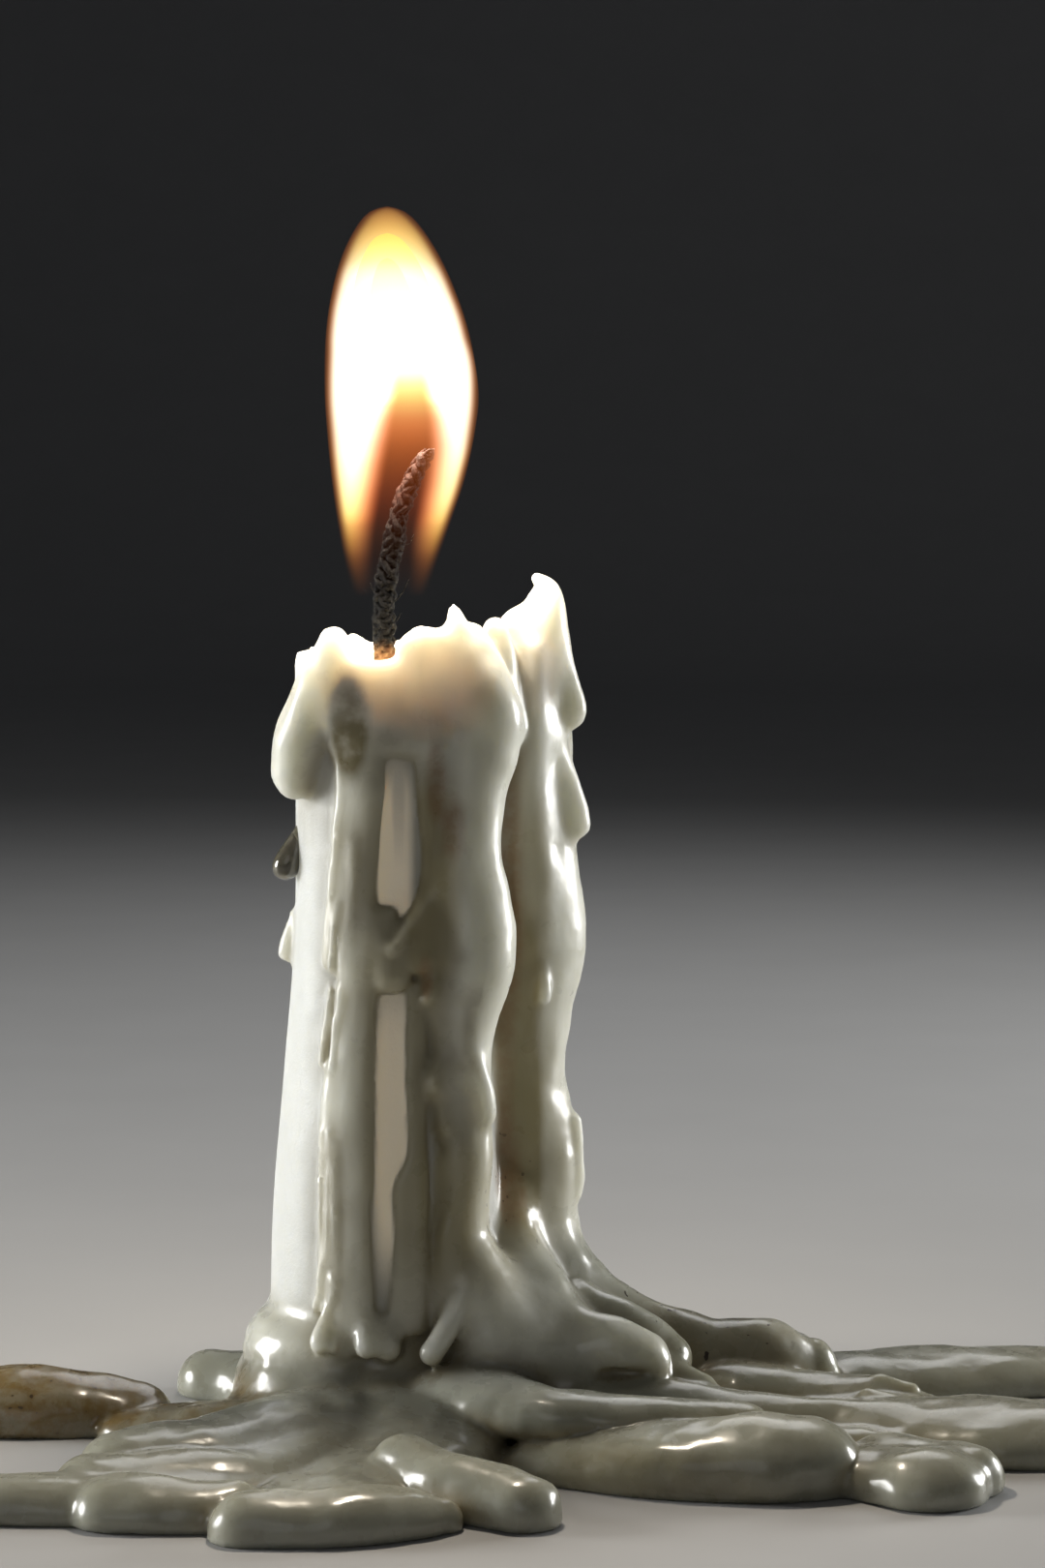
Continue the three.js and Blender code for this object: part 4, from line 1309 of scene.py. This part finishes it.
    def build(self) -> bpy.types.Object:
        """Draw the surface, thin its flat parts and store the numbers that the finish reads.

        Returns:
            The wax.
        """
        wax = self.field_of_wax()
        points, faces = wax.surface()
        made = new_object("candle_wax", points, faces)
        count = 2 * len(faces)
        thin = made.modifiers.new("thin", "DECIMATE")
        thin.ratio = min(1.0, self.most_triangles / count)
        bpy.context.view_layer.update()
        finished = bpy.data.meshes.new_from_object(made.evaluated_get(bpy.context.evaluated_depsgraph_get()))
        made.modifiers.clear()
        made.data = finished
        self.ripple(finished, wax)
        finished.materials.append(self.finish.material())
        finished.shade_smooth()
        return made

    def ripple(self, mesh: bpy.types.Mesh, wax: WaxField) -> None:
        """Give the run wax a slight unevenness, and store the bare share, the hollow share that paints shade,
        the stains, and the shares of painted shade, light and glow.

        Args:
            mesh: The mesh, which is moved along its normals.
            wax: The field it was drawn from.
        """
        places = np.empty(3 * len(mesh.vertices))
        mesh.vertices.foreach_get("co", places)
        places = places.reshape(-1, 3) / MM
        normals = np.empty(3 * len(mesh.vertices))
        mesh.vertex_normals.foreach_get("vector", normals)
        normals = normals.reshape(-1, 3)
        radius = np.hypot(places[:, 0], places[:, 1])
        off_wall = np.abs(radius - self.candle.radius(places[:, 2]))
        # bare where the surface lies on the candle's own wall, above its foot
        bare = (1 - ease(0.12, 0.4, off_wall)) * ease(12.0, 15.0, places[:, 2])
        noise = Lattice(7)
        swell = sum(depth * noise.at(places + 40.0 * i, size) for i, (depth, size) in enumerate(self.swells))
        on_table = 1 - ease(0.05, 0.8, places[:, 2])
        move = swell * (1 - 0.9 * bare) * (1 - on_table)
        # thin edges keep their place, so that the two sides can't cross
        room = ease(0.0, 1.4, -wax.sample(places - 1.6 * normals))
        places = places + normals * (move * room)[:, None]
        mesh.vertices.foreach_set("co", (places * MM).astype(np.float32).ravel())
        # hollow where the distance grows slower than the step that is taken out from the surface; the finish
        # paints shade there
        near = wax.sample(places + 1.2 * normals) / 1.2
        far = wax.sample(places + 3.4 * normals) / 3.4
        hollow = np.clip(1.15 - 0.45 * near - 0.7 * far, 0, 1) * (1 - on_table)
        set_number(mesh, "bare", bare)
        set_number(mesh, "hollow", hollow)
        set_number(mesh, "wet", 1 - 0.75 * ease(14.0, 26.0, places[:, 2]))
        for name in ("amber", "rust", "shade", "low_shade", "strip", "olive_stain_and_shade", "warm_light", "dirt", "glow"):
            total = sum(stain.at(places) for stain in getattr(self, name))
            # the painted shade is kept mostly off the bare wall
            if name == "shade":
                total = total * (1 - 0.85 * bare)
            # the painted light on the strips stays on the bare wall
            if name == "strip":
                total = total * bare
            # the bare strips get painted glow too
            if name == "glow":
                total = total + self.strip_glow * bare * sum(stain.at(places) for stain in self.strip)
            set_number(mesh, name, np.clip(total, 0, 1))
        mesh.update()


# ---------------------------------------------------------------- the clear drop


@dataclass(frozen=True)
class ClearDrop:
    """A bead of clear wax that hangs on the left: rows of x, y, z and radius from the top."""

    rows: Rows = (
        (-8.5, -1.6, 62.4, 0.1), (-8.8, -1.8, 61.4, 0.5), (-9.3, -1.9, 60.0, 1.0), (-9.75, -2.0, 58.7, 1.4),
        (-9.95, -2.0, 57.8, 1.5), (-10.05, -2.0, 57.1, 1.3), (-10.1, -2.0, 56.6, 0.85),
        (-10.1, -2.0, 56.3, 0.1),
    )
    sides: int = 32
    finish: ClearWaxFinish = ClearWaxFinish()

    def build(self) -> bpy.types.Object:
        """Carry a circle down the rows and close both ends.

        Returns:
            The drop.
        """
        path = smooth_rows(self.rows, 6)[::-1]
        angle = 2 * np.pi * np.arange(self.sides) / self.sides
        radius = np.maximum(path[:, 3], 0.05)[:, None]
        ring = np.stack([
            path[:, 0:1] + radius * np.cos(angle), path[:, 1:2] + radius * np.sin(angle),
            path[:, 2:3] + 0 * angle[None, :],
        ], axis=-1)
        made = closed_tube("clear_drop", ring)
        made.data.materials.append(self.finish.material())
        return made


def closed_tube(name: str, rings: np.ndarray) -> bpy.types.Object:
    """Skin a stack of rings and close its ends with a fan of thin quads.

    Args:
        name: The object's name.
        rings: Rings of points, rising and counter-clockwise, as rows by columns by 3.

    Returns:
        The object.
    """
    points, faces = capped(rings)
    return new_object(name, points, faces)


def capped(rings: np.ndarray) -> tuple[np.ndarray, np.ndarray]:
    """Skin rings and close both ends with four-cornered faces across each end ring.

    Args:
        rings: Rows by columns by 3, with an even number of columns.

    Returns:
        Points and faces.
    """
    rows, columns = rings.shape[:2]
    faces = grid_faces(rows, columns, wrap=True)
    k = np.arange(columns // 2 - 1)
    low = np.stack([k, (columns - k) % columns, columns - k - 1, k + 1], axis=-1)
    top = (rows - 1) * columns
    high = np.stack([k, k + 1, columns - k - 1, (columns - k) % columns], axis=-1) + top
    low[0] = [0, columns - 1, columns - 2, 1] if columns > 2 else low[0]
    return rings.reshape(-1, 3), np.vstack([faces, low[1:], high[1:], cap_tip(0, columns, True),
                                            cap_tip(top, columns, False)])


def cap_tip(start: int, columns: int, down: bool) -> np.ndarray:
    """Give the first face of an end ring's cap, between its first two and last two points.

    Args:
        start: The index of the ring's first point.
        columns: How many points the ring has.
        down: Whether the face looks down.

    Returns:
        One face.
    """
    corners = [0, columns - 1, columns - 2, 1] if down else [0, 1, columns - 2, columns - 1]
    return np.array([corners]) + start


# ---------------------------------------------------------------- the wick


@dataclass(frozen=True)
class Wick:
    """A braided cotton wick: strands wound round a path that burning has bent over."""

    path: Rows = (
        (0, 0, 5), (0, 0, 40), (0, 0, 74), (-0.1, 0, 79), (-0.15, 0, 82.5), (0.1, 0, 86.0), (0.6, 0, 89.2),
        (1.35, 0, 92.6), (2.3, 0, 95.8), (3.6, 0, 98.4), (4.5, 0, 99.9),
    )
    strands: int = 5
    strand_radius: float = 0.50
    wind_radius: float = 0.62
    turns: float = 17.0
    sides: int = 14
    finish: WickFinish = WickFinish()

    def build(self) -> bpy.types.Object:
        """Wind the strands and add the loose fibres.

        Returns:
            The wick.
        """
        parts = [self.strand(k, hand) for hand in (1, -1) for k in range(self.strands)]
        parts += self.fibres()
        points, faces = joined(parts)
        made = new_object("wick_braid", points, faces)
        made.data.materials.append(self.finish.material())
        return made

    def strand(self, index: int, hand: int) -> tuple[np.ndarray, np.ndarray]:
        """Carry a lumpy circle along a helix about the wick's path.

        Args:
            index: Which strand.
            hand: 1 for a right-hand helix and -1 for a left-hand one.

        Returns:
            Points and faces.
        """
        centre = smooth_rows(self.path, 42)
        length = np.concatenate([[0], np.cumsum(np.linalg.norm(np.diff(centre, axis=0), axis=1))])
        even = np.linspace(0, length[-1], 420)
        centre = np.stack([np.interp(even, length, centre[:, i]) for i in range(3)], axis=-1)
        share = even / even[-1]
        slim = 1 - 0.12 * ease(0.86, 0.95, share) - 0.10 * ease(0.95, 1.0, share)
        turn = hand * 2 * np.pi * (self.turns * share + index / self.strands) + (0.3 if hand < 0 else 0.0)
        wave = self.wind_radius * slim * (1 + 0.10 * np.cos(self.strands * turn))
        centre = centre + np.stack([wave * np.cos(turn), wave * np.sin(turn), 0 * turn], axis=-1)
        angle = 2 * np.pi * np.arange(self.sides) / self.sides
        ends = np.sqrt(np.clip(1 - ((share - 0.5) / 0.5003) ** 60, 0.02, 1))
        radius = (self.strand_radius * slim * ends)[:, None]
        noise = Lattice(11 + index + 10 * (hand > 0))
        ring = np.stack([
            centre[:, 0:1] + radius * np.cos(angle), centre[:, 1:2] + radius * np.sin(angle),
            centre[:, 2:3] + 0 * angle[None, :],
        ], axis=-1)
        flat = ring.reshape(-1, 3)
        burnt = ease(79.0, 83.0, flat[:, 2])
        lump = noise.at(flat, 0.55) * 0.06 + burnt * (0.26 * noise.at(flat, 1.1) + 0.10 * noise.at(flat, 0.4))
        out = flat - np.repeat(centre, self.sides, axis=0)
        out /= np.maximum(np.linalg.norm(out, axis=1, keepdims=True), 1e-6)
        return capped((flat + out * lump[:, None]).reshape(ring.shape))

    def fibres(self) -> list[tuple[np.ndarray, np.ndarray]]:
        """Let a few loose fibres stand out of the braid.

        Returns:
            Points and faces of each fibre.
        """
        strays = (
            ((0.9, -0.3, 84.4, 0.09), (1.8, -0.5, 85.4, 0.07), (2.4, -0.6, 86.7, 0.04)),
            ((0.5, -0.5, 82.2, 0.09), (1.2, -0.9, 82.6, 0.07), (1.6, -1.0, 83.3, 0.04)),
            ((-0.6, -0.5, 85.0, 0.09), (-1.2, -0.8, 85.6, 0.07), (-1.5, -0.9, 86.4, 0.04)),
            ((1.9, 0.5, 90.0, 0.09), (2.5, 0.8, 90.4, 0.07), (2.9, 0.9, 91.2, 0.04)),
            ((0.2, 0.6, 83.4, 0.09), (0.4, 1.3, 83.9, 0.07), (0.5, 1.7, 84.7, 0.04)),
        )
        return [slim_tube(np.asarray(rows), 8) for rows in strays]


def slim_tube(rows: np.ndarray, sides: int) -> tuple[np.ndarray, np.ndarray]:
    """Carry a level circle up a spline of x, y, z and radius.

    Args:
        rows: The spline's points, rising.
        sides: How many points a circle has.

    Returns:
        Points and faces.
    """
    path = smooth_rows(rows, 6)
    angle = 2 * np.pi * np.arange(sides) / sides
    ring = np.stack([
        path[:, 0:1] + path[:, 3:4] * np.cos(angle), path[:, 1:2] + path[:, 3:4] * np.sin(angle),
        path[:, 2:3] + 0 * angle[None, :],
    ], axis=-1)
    return capped(ring)


# ---------------------------------------------------------------- the flame


@dataclass(frozen=True)
class Flame:
    """The flame: gas inside a teardrop outline, and two skins inside it that show where it is hot."""

    outline: Rows = (
        (85.0, 0.45, 3.75), (88.0, 0.55, 4.6), (92.4, 0.9, 5.7), (97.0, 1.35, 6.75), (102.0, 1.65, 7.5),
        (106.0, 1.7, 7.75), (111.5, 1.3, 7.2), (116.0, 0.9, 6.1), (119.6, 0.6, 4.7), (122.4, 0.4, 3.0),
        (123.7, 0.3, 1.6), (124.15, 0.3, 0.02),
    )
    cone: Rows = (
        (85.0, 0.45, 3.4), (90.0, 0.7, 3.7), (94.0, 1.3, 3.8), (97.7, 2.0, 3.9), (101.5, 2.5, 3.6),
        (104.0, 2.6, 3.0), (106.5, 2.6, 2.2), (124.2, 1.0, 2.0),
    )
    sides: int = 48
    rings: int = 48
    skins: tuple[float, ...] = (0.30, 0.58)
    # the height that the skins shrink towards, and how much less they shrink upright than across
    heart: float = 108.0
    upright: float = 0.55

    def profile(self, inset: float) -> np.ndarray:
        """Sample the outline evenly along its length, drawn in towards its middle.

        Args:
            inset: The share of the radius that is taken off.

        Returns:
            Height, middle and radius of each ring, from the base up.
        """
        fine = smooth_rows(self.outline, 20)
        steps = np.hypot(np.diff(fine[:, 0]), np.diff(fine[:, 2]))
        length = np.concatenate([[0], np.cumsum(steps)])
        even = np.linspace(0, length[-1], self.rings)
        rows = np.stack([np.interp(even, length, fine[:, i]) for i in range(3)], axis=-1)
        rows[:, 0] = rows[:, 0] + inset * self.upright * (self.heart - rows[:, 0])
        rows[:, 2] = rows[:, 2] * (1 - inset)
        return rows

    def rings_of(self, inset: float) -> np.ndarray:
        """Turn the profile round the flame's middle.

        Args:
            inset: The share of the radius that is taken off.

        Returns:
            Rings of points, as rows by columns by 3.
        """
        height, middle, radius = (self.profile(inset)[:, i : i + 1] for i in range(3))
        angle = 2 * np.pi * np.arange(self.sides) / self.sides
        x, y = middle + radius * np.cos(angle), radius * np.sin(angle)
        return np.stack([x, y, height + 0 * angle], axis=-1)

    def build(self) -> list[bpy.types.Object]:
        """Build the gas and the skins.

        Returns:
            The two pieces.
        """
        finish = FlameFinish(self.outline, self.cone, self.outline[0][0], self.outline[-1][0])
        gas = closed_tube("flame_gas", self.rings_of(0.0))
        height = self.rings_of(0.0)[..., 2].ravel()
        set_number(gas.data, "veil", 0.05 * ease(89.0, 103.0, height))
        gas.data.materials.append(finish.gas_material())
        parts = [self.rings_of(inset) for inset in self.skins]
        points, faces = joined([capped(rings) for rings in parts])
        skins = new_object("flame_skins", points, faces)
        depth = np.repeat(self.skins, self.rings * self.sides)
        set_number(skins.data, "heat", ease(0.1, 0.6, depth) * ease(98.0, 110.0, points[:, 2]))
        set_number(skins.data, "veil", 0.36 * ease(106.0, 114.0, points[:, 2]))
        skins.data.materials.append(finish.skin_material())
        for piece in (gas, skins):
            piece.visible_shadow = False
            piece.visible_diffuse = False
            piece.visible_glossy = False
        return [gas, skins]


# ---------------------------------------------------------------- the stage


@dataclass(frozen=True)
class Softbox:
    """A round soft light that faces the candle."""

    name: str
    place: tuple[float, float, float]
    across: float
    watts: float
    colour: tuple[float, float, float] = (1.0, 1.0, 1.0)
    aim: tuple[float, float, float] = (0.006, 0.0, 0.045)

    def build(self) -> None:
        """Hang the light and point it."""
        lamp = bpy.data.lights.new(self.name, "AREA")
        lamp.shape = "DISK"
        lamp.size = self.across
        lamp.energy = self.watts
        lamp.color = self.colour
        made = bpy.data.objects.new(self.name, lamp)
        made.location = self.place
        toward = np.subtract(self.aim, self.place)
        flat = math.hypot(toward[0], toward[1])
        made.rotation_euler = (math.atan2(flat, -toward[2]), 0.0, math.atan2(-toward[0], toward[1]))
        bpy.context.scene.collection.objects.link(made)


@dataclass(frozen=True)
class Stage:
    """The pale floor, the soft lights and the camera."""

    floor_side: float = 6.0
    bend_start: float = 1.3
    bend_radius: float = 0.9
    wall_top: float = 3.0
    camera_place: tuple[float, float, float] = (0.0139, -0.420, 0.100)
    camera_dip_deg: float = 4.64
    lens_mm: float = 95.2
    world: tuple[float, float, float] = (0.030, 0.031, 0.033)
    lights: tuple[Softbox, ...] = (
        Softbox("left", (-0.40, 0.03, 0.10), 0.18, 1.7, (1.0, 1.0, 0.98)),
        Softbox("right", (0.42, 0.20, 0.10), 0.18, 1.8, (1.0, 1.0, 0.98)),
        Softbox("above", (0.06, 0.42, 0.40), 0.34, 0.5),
        Softbox("front", (-0.14, -0.66, 0.26), 0.40, 0.22),
    )
    flame_place: tuple[float, float, float] = (0.0012, 0.0, 0.112)
    flame_watts: float = 0.30
    flame_colour: tuple[float, float, float] = (1.0, 0.88, 0.72)
    flame_radius: float = 0.006
    finish: FloorFinish = FloorFinish()

    def build(self) -> None:
        """Lay the floor, hang the lights, light the air and set the camera."""
        floor = self.sweep()
        floor.data.materials.append(self.finish.material())
        for light in self.lights:
            light.build()
        self.glow()
        world = bpy.data.worlds.new("air")
        world.use_nodes = True
        world.node_tree.nodes["Background"].inputs["Color"].default_value = (*self.world, 1.0)
        bpy.context.scene.world = world
        lens = bpy.data.cameras.new("camera")
        lens.lens = self.lens_mm
        lens.clip_start = 0.01
        camera = bpy.data.objects.new("camera", lens)
        camera.location = self.camera_place
        camera.rotation_euler = (math.radians(90 - self.camera_dip_deg), 0.0, 0.0)
        bpy.context.scene.collection.objects.link(camera)
        bpy.context.scene.camera = camera

    def sweep(self) -> bpy.types.Object:
        """Lay a floor that bends up into a wall behind, as a quarter circle carried across.

        Returns:
            The floor.
        """
        angle = np.linspace(0.0, np.pi / 2, 24)
        bend_y = self.bend_start + self.bend_radius * np.sin(angle)
        bend_z = self.bend_radius * (1 - np.cos(angle))
        along = np.concatenate([[-self.floor_side / 2], bend_y, bend_y[-1:]])
        up = np.concatenate([[0.0], bend_z, [self.wall_top]])
        across = np.array([-self.floor_side / 2, self.floor_side / 2])
        points = np.stack([
            across[None, :] + 0 * along[:, None], along[:, None] + 0 * across, up[:, None] + 0 * across,
        ], axis=-1)
        return new_object("floor", points.reshape(-1, 3) / MM, grid_faces(len(along), 2, wrap=False))

    def glow(self) -> None:
        """Put a small warm light in the flame."""
        lamp = bpy.data.lights.new("flame_light", "POINT")
        lamp.energy = self.flame_watts
        lamp.color = self.flame_colour
        lamp.shadow_soft_size = self.flame_radius
        made = bpy.data.objects.new("flame_light", lamp)
        made.location = self.flame_place
        bpy.context.scene.collection.objects.link(made)


# ---------------------------------------------------------------- all together


def settle(piece: bpy.types.Object, node: str = "") -> None:
    """Let a piece ride the part's one body and stand for its CAD node.

    Args:
        piece: The piece.
        node: The CAD node that it replaces, if it is the one that does.
    """
    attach(piece, "root")
    if node:
        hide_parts(node)
    LOG.info("%s: %d faces", piece.name, len(piece.data.polygons))


def main() -> None:
    """Build the pieces in order, then the stage."""
    logging.basicConfig(level=logging.INFO, format="%(name)s %(message)s", stream=sys.stdout)
    settle(Wax().build(), "wax")
    settle(ClearDrop().build())
    settle(Wick().build(), "wick")
    gas, skins = Flame().build()
    settle(gas, "flame")
    settle(skins)
    Stage().build()
    bpy.context.scene.view_settings.view_transform = "Standard"


if __name__ == "__main__":
    main()
